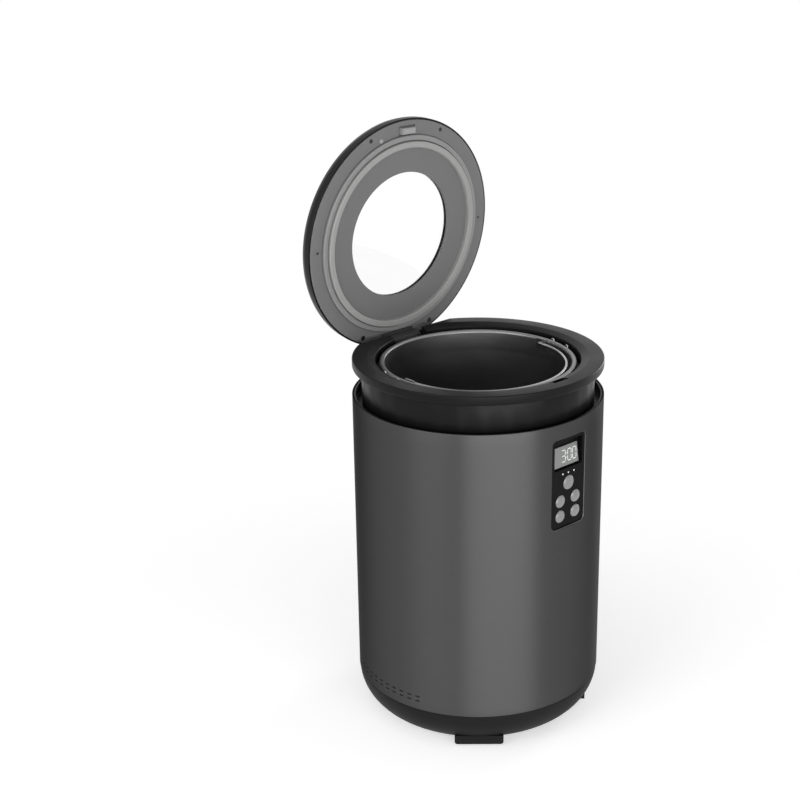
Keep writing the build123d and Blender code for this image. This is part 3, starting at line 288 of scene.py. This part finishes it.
slotFinish = {
    "sleeve_steel": "sleeveSteel", "black_plastic": "blackSatin", "matt_black": "blackMatt",
    "grey_plastic": "greyMoulded", "black_rubber": "blackRubber",
    "bucket_steel": "bucketSteel", "inner_coating": "potCoating", "bright_steel": "brightSteel",
    "cast_aluminium": "castAlloy", "sheet_steel": "sheetSteel", "gear_steel": "gearSteel",
    "bronze": "sinteredBronze", "window_glass": "paneGlass", "lcd_glass": "displayGrey",
    "button_grey": "keyGrey", "light_lens": "lampWhite", "circuit_board": "circuitGreen",
    "component_black": "componentBlack", "insulation_wool": "woolFelt", "carbon": "carbonPad",
    "silicone": "greySeal",
}


def paint(thing, finishName):
    thing.data.materials.clear()
    thing.data.materials.append(finishes[finishName])


def soften(thing, width, segments=3, angle=35):
    # rounds every edge that turns by more than the angle
    bevel = thing.modifiers.new("edges", "BEVEL")
    bevel.width = width * mm
    bevel.segments = segments
    bevel.limit_method = "ANGLE"
    bevel.angle_limit = math.radians(angle)
    bevel.harden_normals = True


print("painting the frame's own pieces")
edgeBreak = {  # millimetres of rounding on each piece's corners
    "base_shell": 0.5, "rubber_feet": 2.0, "upper_collar": 0.4, "rim_bezel": 0.5, "panel_face": 0.25,
    "filter_door": 0.3, "filter_drawer": 0.3, "filter_case": 0.3, "ac_inlet": 0.3, "agitator": 0.8,
    "lid_keeper": 0.3, "lid_hinge": 0.6, "deck": 0.4, "gearbox_pan": 0.4, "gearbox_cover": 0.4,
    "blower_case": 0.4, "motor_can": 0.5, "heating_pot": 0.4, "bucket_ears": 0.5, "lcd_panel": 0.1,
    "board_parts": 0.4, "control_board": 0.1, "display_board": 0.1, "lid_plate": 0.3, "lid_shell": 0.5,
    "carbon_pad": 1.0, "outer_sleeve": 0.25, "trim_ring": 0.3, "air_duct": 0.4, "lid_sensor": 0.3,
}
for entry in frame["record"]["subparts"]:
    thing = nodes[entry["node"]]
    paint(thing, slotFinish[entry["material_slot"]])
    width = edgeBreak.get(entry["node"])
    if width:
        weld = thing.modifiers.new("weld", "WELD")
        weld.merge_threshold = 0.02 * mm
        soften(thing, width, 2, 40)


# ---- small tools for shaping ----
facingFront = Matrix(((1, 0, 0, 0), (0, 0, -1, 0), (0, 1, 0, 0), (0, 0, 0, 1)))  # height becomes -Y
facingBack = Matrix(((1, 0, 0, 0), (0, 0, 1, 0), (0, 1, 0, 0), (0, 0, 0, 1)))  # height becomes +Y


def rounded(profile, steps=5):
    # corner points as (across, up, radius), each swept into a fillet
    points = []
    count = len(profile)
    for i, corner in enumerate(profile):
        here = Vector(corner[:2])
        radius = corner[2] if len(corner) > 2 else 0.0
        if radius <= 0:
            points.append(tuple(here))
            continue
        back = (Vector(profile[i - 1][:2]) - here).normalized()
        ahead = (Vector(profile[(i + 1) % count][:2]) - here).normalized()
        half = back.angle(ahead) / 2
        run = radius / math.tan(half)
        middle = here + (back + ahead).normalized() * (radius / math.sin(half))
        start = here + back * run - middle
        end = here + ahead * run - middle
        sweep = start.angle_signed(end)
        for step in range(steps + 1):
            turn = Matrix.Rotation(-sweep * step / steps, 2)
            points.append(tuple(middle + turn @ start))
    return points


def newThing(name, bm, finishName, body, sharp=35):
    bmesh.ops.remove_doubles(bm, verts=bm.verts, dist=1e-7)
    bmesh.ops.recalc_face_normals(bm, faces=bm.faces)
    mesh = bpy.data.meshes.new(name)
    bm.to_mesh(mesh)
    bm.free()
    mesh.shade_smooth()
    mesh.set_sharp_from_angle(angle=math.radians(sharp))
    thing = bpy.data.objects.new(name, mesh)
    bpy.context.scene.collection.objects.link(thing)
    paint(thing, finishName)
    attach(thing, body)
    return thing


def turnedMesh(profile, sides=240, centre=(0, 0, 0), turn=None):
    # closed outline of (radius, height) in millimetres, swept about the upright axis
    bm = bmesh.new()
    rings = []
    for r, z in profile:
        if r < 1e-6:
            rings.append([bm.verts.new((0, 0, z * mm))] * sides)
            continue
        ring = []
        for i in range(sides):
            angle = 2 * math.pi * i / sides
            ring.append(bm.verts.new((r * mm * math.cos(angle), r * mm * math.sin(angle), z * mm)))
        rings.append(ring)
    for a, b in zip(rings, rings[1:] + rings[:1]):
        for i in range(sides):
            j = (i + 1) % sides
            corners = []
            for vert in (a[i], a[j], b[j], b[i]):
                if vert not in corners:
                    corners.append(vert)
            if len(corners) > 2:
                bm.faces.new(corners)
    if turn:
        bmesh.ops.transform(bm, matrix=turn, verts=bm.verts)
    bmesh.ops.translate(bm, vec=Vector(centre) * mm, verts=bm.verts)
    return bm


def addMesh(bm, part):
    # puts one mesh in with another
    loose = bpy.data.meshes.new("loose")
    part.to_mesh(loose)
    part.free()
    bm.from_mesh(loose)
    bpy.data.meshes.remove(loose)


def outlinePrism(bm, outline, low, high, place=Matrix()):
    # flat outline in millimetres, raised from low to high, then placed
    bottom = [bm.verts.new(place @ (Vector((x, y, low)) * mm)) for x, y in outline]
    top = [bm.verts.new(place @ (Vector((x, y, high)) * mm)) for x, y in outline]
    bm.faces.new(bottom[::-1])
    bm.faces.new(top)
    for i in range(len(outline)):
        j = (i + 1) % len(outline)
        bm.faces.new((bottom[i], bottom[j], top[j], top[i]))


def roundBox(wide, tall, radius, centre=(0, 0), steps=6):
    # outline of a rectangle with round corners
    cx, cy = centre
    points = []
    for n, (sx, sy) in enumerate([(1, 1), (-1, 1), (-1, -1), (1, -1)]):
        for step in range(steps + 1):
            angle = math.pi / 2 * (n + step / steps)
            x = cx + sx * (wide / 2 - radius) + radius * math.cos(angle)
            y = cy + sy * (tall / 2 - radius) + radius * math.sin(angle)
            points.append((x, y))
    return points


def carve(thing, cutterMesh):
    # takes the cutter's shape away from the thing for good
    mesh = bpy.data.meshes.new("cutter")
    bmesh.ops.recalc_face_normals(cutterMesh, faces=cutterMesh.faces)
    cutterMesh.to_mesh(mesh)
    cutterMesh.free()
    cutter = bpy.data.objects.new("cutter", mesh)
    bpy.context.scene.collection.objects.link(cutter)
    cut = thing.modifiers.new("cut", "BOOLEAN")
    cut.object = cutter
    cut.operation = "DIFFERENCE"
    cut.solver = "EXACT"
    bpy.context.view_layer.update()
    done = bpy.data.meshes.new_from_object(thing.evaluated_get(bpy.context.evaluated_depsgraph_get()))
    thing.modifiers.clear()
    old = thing.data
    thing.data = done
    done.shade_smooth()
    done.set_sharp_from_angle(angle=math.radians(35))
    bpy.data.meshes.remove(old)
    bpy.data.objects.remove(cutter)


# ---- outer body ----
print("turning the outer body")
bodyShape = {
    "radius": 120.0, "wall": 1.5, "low": 39.3, "top": 325.0, "lowEdge": 0.2, "topEdge": 0.5,
    # heights of rings beside the cuts, which keep the rest of the skin evenly smooth
    "rings": [46.0, 50.3, 54.6, 110.2, 118.4, 139.6, 220.8, 311.2],
    # openings: width, height, corner radius, height of the middle
    "window": (44.4, 89.4, 5.3, 266.0), "door": (89.2, 55.2, 0.8, 82.0), "inlet": (27.4, 20.4, 1.0, 129.0),
    "cut": (105, 130),
    "ventAngle": 73.3, "ventPitch": 4.55, "ventCount": 11, "ventHeights": (48.0, 52.7),
    "ventSize": (5.2, 1.3, 0.62), "ventCut": (112, 126),
    "edgeWidth": 0.4, "edgeOut": 0.06, "edgeIn": 0.30,
}


def makeSleeve(s):
    r = s["radius"]
    inside = r - s["wall"]
    outer = [(r, s["low"], s["lowEdge"])] + [(r, z) for z in s["rings"]] + [(r, s["top"], s["topEdge"])]
    inner = [(inside, s["top"], s["topEdge"])] + [(inside, z) for z in s["rings"][::-1]]
    inner += [(inside, s["low"], s["lowEdge"])]
    skin = newThing(
        "steelSleeve", turnedMesh(rounded(outer + inner, 3), 360), "sleeveSteel", "housing"
    )
    holes = bmesh.new()
    for opening, facing in (("window", facingFront), ("door", facingBack), ("inlet", facingBack)):
        wide, tall, corner, middle = s[opening]
        outlinePrism(holes, roundBox(wide, tall, corner, (0, middle)), *s["cut"], facing)
    for side in (-1, 1):
        for n in range(s["ventCount"]):
            angle = side * math.radians(s["ventAngle"] + n * s["ventPitch"])
            place = Matrix.Rotation(angle, 4, "Z") @ facingFront
            for z in s["ventHeights"]:
                outlinePrism(holes, roundBox(*s["ventSize"], (0, z), 3), *s["ventCut"], place)
    carve(skin, holes)
    soften(skin, 0.18, 2)
    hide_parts("outer_sleeve")


makeSleeve(bodyShape)

# ---- rim ----
print("turning the rim")
rimShape = {
    "outline": [
        (97.5, 350.0, 0.5), (97.5, 358.6, 1.3), (105.0, 361.0, 2.0), (119.5, 361.0, 1.3),
        (119.5, 352.0, 2.1), (116.9, 352.0, 0.3), (116.9, 357.0, 0.5), (111.7, 357.0, 0.3),
        (111.7, 352.0, 0.3), (98.9, 352.0, 0.3), (98.9, 350.0, 0.5),
    ],
    "cut": (340, 370),
    "flat": [(-130, 102.0), (130, 102.0), (130, 140), (-130, 140)],
    "notch": [(-21.0, 85), (21.0, 85), (21.0, 120), (-21.0, 120)],
    "slot": (18.4, 8.4, 0.8), "slotMiddle": -103.3, "slotFloor": 353.6,
}


def makeRim(s):
    rim = newThing(
        "rimBezel", turnedMesh(rounded(s["outline"]), 300), "blackSatin", "housing"
    )
    low, high = s["cut"]
    holes = bmesh.new()
    outlinePrism(holes, s["flat"], low, high)
    carve(rim, holes)
    holes = bmesh.new()
    outlinePrism(holes, s["notch"], low, high)
    outlinePrism(holes, roundBox(*s["slot"], (0, s["slotMiddle"]), 4), s["slotFloor"], high)
    carve(rim, holes)
    soften(rim, 0.35)
    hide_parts("rim_bezel")


makeRim(rimShape)

# ---- lid ----
print("shaping the lid")
toOpen = (
    Matrix.Translation(hingeLine)
    @ Matrix.Rotation(-openAngle, 4, "X")
    @ Matrix.Translation(-hingeLine)
)
lidShape = {
    "shell": [
        (113.0, 361.9, 0.2), (114.5, 361.9, 0.4), (114.2, 368.6, 6.0), (112.6, 373.4, 3.0),
        (108.5, 375.4, 3.0), (101.0, 375.2, 10.0), (78.0, 369.3, 14.0), (62.5, 369.3, 0.6),
        (62.5, 367.2, 0.1), (80.0, 367.2, 0.1), (98.5, 373.0, 0.1), (108.5, 373.0, 0.1), (113.0, 369.0, 0.1),
    ],
    "plate": [
        (62.0, 364.4, 0.1), (62.0, 361.4, 0.5), (98.5, 361.4), (98.6, 362.3), (99.2, 362.3),
        (99.3, 361.4, 0.2), (112.7, 361.4, 0.5), (112.7, 364.4, 0.1),
    ],
    "sealOuter": [
        (98.4, 361.5, 0.1), (98.4, 359.6, 0.5), (97.4, 359.1, 0.6), (93.8, 359.1, 0.3), (93.8, 361.5, 0.1),
    ],
    "sealInner": [
        (92.6, 361.5, 0.1), (92.6, 357.4, 0.5), (91.9, 356.9, 0.5), (87.4, 356.9, 0.6), (86.6, 358.0, 0.6),
        (86.6, 361.5, 0.1),
    ],
    "holes": [  # across, down, width
        (-44.0, -98.4, 4.2), (44.0, -98.4, 4.2), (-44.0, 98.4, 5.4), (44.0, 98.4, 5.4),
        (-104.3, 0.0, 2.6), (104.3, 0.0, 2.6),
    ],
    "drill": (360, 363.4),
    "pocket": (20.0, 9.6, 0.6), "pocketMiddle": -103.3, "pocketCut": (360, 363.6),
    "bumper": [(0, 361.5), (0, 360.7), (2.0, 360.7, 0.5), (2.2, 361.5, 0.1)],
    "bumperSpot": (-31.3, -96.6, 0),
}


def makeLid(s):
    shell = newThing(
        "lidShell", turnedMesh(rounded(s["shell"], 6), 300, turn=toOpen), "blackGloss", "lid"
    )
    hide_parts("lid_shell")
    plate = newThing(
        "lidPlate", turnedMesh(rounded(s["plate"], 4), 300), "greyMoulded", "lid"
    )
    holes = bmesh.new()
    for x, y, wide in s["holes"]:
        outlinePrism(holes, roundBox(wide, wide, wide / 2 - 0.01, (x, y), 5), *s["drill"])
    outlinePrism(holes, roundBox(*s["pocket"], (0, s["pocketMiddle"]), 3), *s["pocketCut"])
    carve(plate, holes)
    plate.data.transform(toOpen)
    soften(plate, 0.2, 2)
    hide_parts("lid_plate")
    outer, inner = [
        newThing(name, turnedMesh(rounded(s[band], 4), 300, turn=toOpen), finishName, "lid")
        for name, band, finishName in (
            ("sealOuterBand", "sealOuter", "sealDark"),
            ("sealInnerBand", "sealInner", "greySeal"),
        )
    ]
    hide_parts("lid_seal")
    bumper = newThing(
        "lidBumper", turnedMesh(rounded(s["bumper"], 4), 32, s["bumperSpot"]), "greySeal", "lid"
    )
    bumper.data.transform(toOpen)


makeLid(lidShape)
paint(nodes["lid_screws"], "darkScrew")
# the hinge's dark grey is partly its own tone and partly painted shade for the notch in the rim
paint(nodes["lid_hinge"], "hingeGreyAndShade")
paint(nodes["lid_keeper"], "keeperGrey")

# ---- bucket ----
print("spinning the bucket")
bucketShape = {
    "outside": [
        (12.0, 186.3), (80.7, 186.3, 7.0), (85.4, 195.0, 20.0), (90.2, 336.0, 40.0), (90.2, 352.4),
    ],
    "inside": [
        (88.7, 354.0), (88.7, 336.0, 40.0), (83.9, 195.6, 20.0), (79.0, 188.0, 6.0), (12.0, 188.0),
    ],
    "bead": 2.6, "beadMiddle": (91.3, 354.0), "beadStart": -135, "beadSweep": 300, "beadSteps": 20,
    "eyes": (160.0, 174.5, 340.0, 354.5), "eyeRadius": 2.0, "eyeWire": 0.75, "eyeHeight": 354.9,
}


def ringOutline(radius, wire, sides=12):
    # outline of a round wire that is bent into a ring
    angles = [2 * math.pi * n / sides for n in range(sides)]
    return [(radius + wire * math.cos(a), wire * math.sin(a)) for a in angles]


def makeBucket(s):
    across, up = s["beadMiddle"]
    steps = s["beadSteps"]
    angles = [math.radians(s["beadStart"] + s["beadSweep"] * n / steps) for n in range(steps + 1)]
    bead = [(across + s["bead"] * math.cos(a), up + s["bead"] * math.sin(a)) for a in angles]
    pail = newThing(
        "steelBucket", turnedMesh(rounded(s["outside"], 6) + bead + rounded(s["inside"], 6), 300),
        "bucketSteel", "bucket", 50,
    )
    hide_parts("bucket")
    # wire eyes on the outside of the rolled edge, where the lifting straps hook on
    bm = bmesh.new()
    out = across + s["bead"] + s["eyeWire"]
    for angle in s["eyes"]:
        ring = turnedMesh(ringOutline(s["eyeRadius"], s["eyeWire"]), 28)
        place = (
            Matrix.Rotation(math.radians(angle), 4, "Z")
            @ Matrix.Translation(Vector((out, 0, s["eyeHeight"])) * mm)
            @ Matrix.Rotation(math.radians(90), 4, "Y")
        )
        ring.transform(place)
        addMesh(bm, ring)
    newThing("bucketEyes", bm, "brightSteel", "bucket", 60)


makeBucket(bucketShape)

# ---- keys, lamps and display ----
print("fitting the panel")
paint(nodes["panel_face"], "panelBlack")
keyShape = {
    "crown": 1.3, "slope": 1.1, "drop": 0.7, "steps": 8, "face": -119.4, "back": -114.6,
    "lip": (0.15, 0.2), "flange": (1.0, 1.2), "stem": (2.5, 2.7),
    "spots": {  # the body that moves, across, up, radius
        "button_power": ("power_key", 0.9, 264.7, 6.85),
        "button_right_upper": ("right_upper_key", 10.4, 248.6, 6.0),
        "button_left_upper": ("left_upper_key", -9.8, 248.4, 6.0),
        "button_right_lower": ("right_lower_key", 10.4, 233.6, 6.0),
        "button_left_lower": ("left_lower_key", -9.8, 233.4, 6.0),
    },
}


def makeKey(node, body, x, z, radius, s):
    tall = s["back"] - s["face"]
    dome = [(0, tall)]
    for n in range(1, s["steps"] + 1):
        r = (radius - s["slope"]) * n / s["steps"]
        dome.append((r, tall - s["crown"] * (r / radius) ** 2))
    edge = dome[-1][1] - s["drop"]
    lipIn, lipDown = s["lip"]
    flange, flangeDeep = s["flange"]
    stem, stemDeep = s["stem"]
    outline = dome + [
        (radius - lipIn, edge), (radius, edge - lipDown), (radius, 0), (radius + flange, 0),
        (radius + flange, -flangeDeep), (stem, -flangeDeep), (stem, -stemDeep), (0, -stemDeep),
    ]
    key = newThing(
        node.replace("button_", "key_"), turnedMesh([(r, -z) for r, z in outline], 72),
        "keyGrey", body,
    )
    key.data.transform(
        Matrix.Translation(Vector((x, s["back"], z)) * mm) @ Matrix.Rotation(math.radians(-90), 4, "X")
    )
    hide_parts(node)


for node, (body, x, z, radius) in keyShape["spots"].items():
    makeKey(node, body, x, z, radius, keyShape)

lampShape = {
    "spots": (-7.4, 0.1, 7.6), "height": 275.0, "front": -117.8, "proud": 0.05,
    "holder": (0.8, 1.3, 1.2), "core": (0, 0.78, 1.1),  # inner radius, outer radius, depth
}


def makeLamps(s, name, part, proud, finishName):
    inside, outside, deep = s[part]
    bm = bmesh.new()
    for x in s["spots"]:
        tube = turnedMesh([(inside, 0), (inside, deep), (outside, deep), (outside, 0)], 32)
        tube.transform(
            Matrix.Translation(Vector((x, s["front"] - proud, s["height"])) * mm)
            @ Matrix.Rotation(math.radians(-90), 4, "X")
        )
        addMesh(bm, tube)
    return newThing(name, bm, finishName, "housing")


makeLamps(lampShape, "lampHolders", "holder", lampShape["proud"], "panelBlack")
cores = makeLamps(lampShape, "lampCores", "core", 0, "lampWhite")
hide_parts("indicator_lights")


def makeCutEdge(s):
    # bright edge that the cutter left around the sleeve's panel opening
    wide, tall, corner, middle = s["window"]
    width = s["edgeWidth"]
    near = roundBox(wide, tall, corner, (0, middle))
    far = roundBox(wide - 2 * width, tall - 2 * width, corner - width, (0, middle))
    bm = bmesh.new()
    rows = []
    for outline, radius in ((near, s["radius"] + s["edgeOut"]), (far, s["radius"] - s["edgeIn"])):
        points = [Vector((x, -math.sqrt(radius**2 - x * x), z)) for x, z in outline]
        rows.append([bm.verts.new(point * mm) for point in points])
    outer, inner = rows
    for i in range(len(near)):
        j = (i + 1) % len(near)
        bm.faces.new((outer[i], outer[j], inner[j], inner[i]))
    newThing("panelEdge", bm, "edgeSteel", "housing")


makeCutEdge(bodyShape)

digitShape = {
    "size": (4.7, 10.6), "stroke": 0.80, "lean": 0.10, "tilt": -8.0, "short": 0.35,
    "middle": (0.0, -113.8, 290.6), "lift": 0.66, "thick": 0.05,
    "spots": {"3": -3.2, "0a": 4.6, "0b": 11.2},
    "colon": 0.75, "dots": (-2.0, 2.0), "dotSize": (0.9, 0.9, 0.4),
    "strokes": {"3": "abgcd", "0": "abcdef"},
}


def makeDigits(s):
    bm = bmesh.new()
    wide, tall = s["size"]
    tip = s["stroke"] / 2
    w, h = wide / 2, tall / 2
    bars = {
        "a": ((-w, h), (w, h)), "g": ((-w, 0), (w, 0)), "d": ((-w, -h), (w, -h)),
        "b": ((w, 0), (w, h)), "c": ((w, -h), (w, 0)), "e": ((-w, -h), (-w, 0)), "f": ((-w, 0), (-w, h)),
    }
    tilt = (
        Matrix.Translation(Vector(s["middle"]) * mm)
        @ Matrix.Rotation(math.radians(s["tilt"]), 4, "X")
        @ facingFront
    )
    top = s["lift"] + s["thick"]
    for label, cx in s["spots"].items():
        for name in s["strokes"][label[0]]:
            start, end = (Vector(point) for point in bars[name])
            along = (end - start).normalized()
            side = Vector((-along.y, along.x)) * tip
            a = start + along * s["short"]
            b = end - along * s["short"]
            inA, inB = a + along * tip, b - along * tip
            points = [a, inA + side, inB + side, b, inB - side, inA - side]
            outline = [(cx + p.x + s["lean"] * p.y, p.y) for p in points]
            outlinePrism(bm, outline, s["lift"], top, tilt)
    for y in s["dots"]:
        centre = (s["colon"] + s["lean"] * y, y)
        outlinePrism(bm, roundBox(*s["dotSize"], centre, 4), s["lift"], top, tilt)
    newThing("displayDigits", bm, "digitWhite", "housing")


makeDigits(digitShape)

# ---- studio ----
print("setting up the studio")
studio = {
    "lens": 70.0,
    "place": (-0.9805, -0.9978, 0.8249),
    "turn": (90 - 20.04, 0, viewAzimuth),
    "shift": -0.0977,
    "aim": (0, 0, 0.22),
    "lamps": {  # size, power, azimuth, height, distance
        "keyLight": ((2.2, 0.8), 28, 19, 0.42, 1.9),
        "fillLight": ((1.2, 1.0), 9, -42, 1.1, 1.8),
        "rimLight": ((0.6, 0.8), 9, 136, 0.42, 1.8),
        "topLight": ((1.6, 1.6), 5, -60, 2.4, 0.9),
    },
    "ambient": 0.25,
    "floor": 0.93,
    "floorHalf": 6,
    "pale": 0.50,
    "fade": (0.22, 0.62),
}
cameraData = bpy.data.cameras.new("studioCamera")
cameraData.lens = studio["lens"]
cameraData.sensor_width = 36.0
cameraData.shift_x = studio["shift"]
cameraData.clip_start = 0.01
camera = bpy.data.objects.new("studioCamera", cameraData)
camera.location = studio["place"]
camera.rotation_euler = [math.radians(a) for a in studio["turn"]]
bpy.context.scene.collection.objects.link(camera)
bpy.context.scene.camera = camera
bpy.context.scene.view_settings.view_transform = "Standard"


def softbox(name, size, power, azimuth, height, distance):
    # azimuth is measured from the camera's side of the object, positive to its right
    data = bpy.data.lights.new(name, "AREA")
    data.shape = "RECTANGLE"
    data.size, data.size_y = size
    data.energy = power
    lamp = bpy.data.objects.new(name, data)
    around = math.radians(viewAzimuth + azimuth)
    lamp.location = (distance * math.sin(around), -distance * math.cos(around), height)
    away = Vector(lamp.location) - Vector(studio["aim"])
    lamp.rotation_euler = away.to_track_quat("Z", "Y").to_euler()
    bpy.context.scene.collection.objects.link(lamp)


for name, settings in studio["lamps"].items():
    softbox(name, *settings)


def seenDirectly(tree):
    # 1 where the background is looked at, straight on or in metal and through glass
    paths = addNode(tree, "ShaderNodeLightPath")
    through = maths(tree, "MAXIMUM", paths.outputs["Is Glossy Ray"], paths.outputs["Is Transmission Ray"])
    return maths(tree, "MAXIMUM", paths.outputs["Is Camera Ray"], through)


world = bpy.data.worlds.new("studioWorld")
bpy.context.scene.world = world
world.use_nodes = True
tree = world.node_tree
tree.nodes.clear()
ambient = addNode(tree, "ShaderNodeBackground", {"Color": (1, 1, 1, 1), "Strength": studio["ambient"]})
white = addNode(tree, "ShaderNodeBackground", {"Color": (1, 1, 1, 1), "Strength": 1.0})
blend = addNode(tree, "ShaderNodeMixShader")
tree.links.new(seenDirectly(tree), blend.inputs[0])
tree.links.new(ambient.outputs[0], blend.inputs[1])
tree.links.new(white.outputs[0], blend.inputs[2])
tree.links.new(blend.outputs[0], addNode(tree, "ShaderNodeOutputWorld").inputs[0])

half = studio["floorHalf"]
floorMesh = bpy.data.meshes.new("studioFloor")
floorMesh.from_pydata(
    [(-half, -half, 0), (half, -half, 0), (half, half, 0), (-half, half, 0)], [], [(0, 1, 2, 3)]
)
floor = bpy.data.objects.new("studioFloor", floorMesh)
floor.location.z = -0.0002  # clear of the feet
bpy.context.scene.collection.objects.link(floor)
floorMat, tree, paper = newMaterial("paleFloor")
paper.inputs["Base Color"].default_value = (*[studio["floor"]] * 3, 1)
paper.inputs["Roughness"].default_value = 0.9
paper.inputs["Specular IOR Level"].default_value = 0.0
# beyond the shadow the paper fades into the white sweep
centre = addNode(tree, "ShaderNodeVectorMath", operation="LENGTH")
tree.links.new(addNode(tree, "ShaderNodeTexCoord").outputs["Object"], centre.inputs[0])
fadeStart, fadeEnd = studio["fade"]
fade = addNode(
    tree, "ShaderNodeMapRange", {"From Min": fadeStart, "From Max": fadeEnd},
    interpolation_type="SMOOTHSTEP",
)
tree.links.new(centre.outputs["Value"], fade.inputs["Value"])
sweep = addNode(tree, "ShaderNodeEmission", {"Color": (1, 1, 1, 1), "Strength": 1.0})
join = addNode(tree, "ShaderNodeMixShader")
tree.links.new(maths(tree, "MULTIPLY", fade.outputs[0], seenDirectly(tree)), join.inputs[0])
# near the object the lit paper and this paleness add up to white, less the shadow
pale = addNode(tree, "ShaderNodeEmission", {"Color": (1, 1, 1, 1)})
tree.links.new(maths(tree, "MULTIPLY", seenDirectly(tree), studio["pale"]), pale.inputs["Strength"])
near = addNode(tree, "ShaderNodeAddShader")
tree.links.new(paper.outputs[0], near.inputs[0])
tree.links.new(pale.outputs[0], near.inputs[1])
tree.links.new(near.outputs[0], join.inputs[1])
tree.links.new(sweep.outputs[0], join.inputs[2])
tree.links.new(join.outputs[0], tree.nodes["Material Output"].inputs["Surface"])
floor.data.materials.append(floorMat)
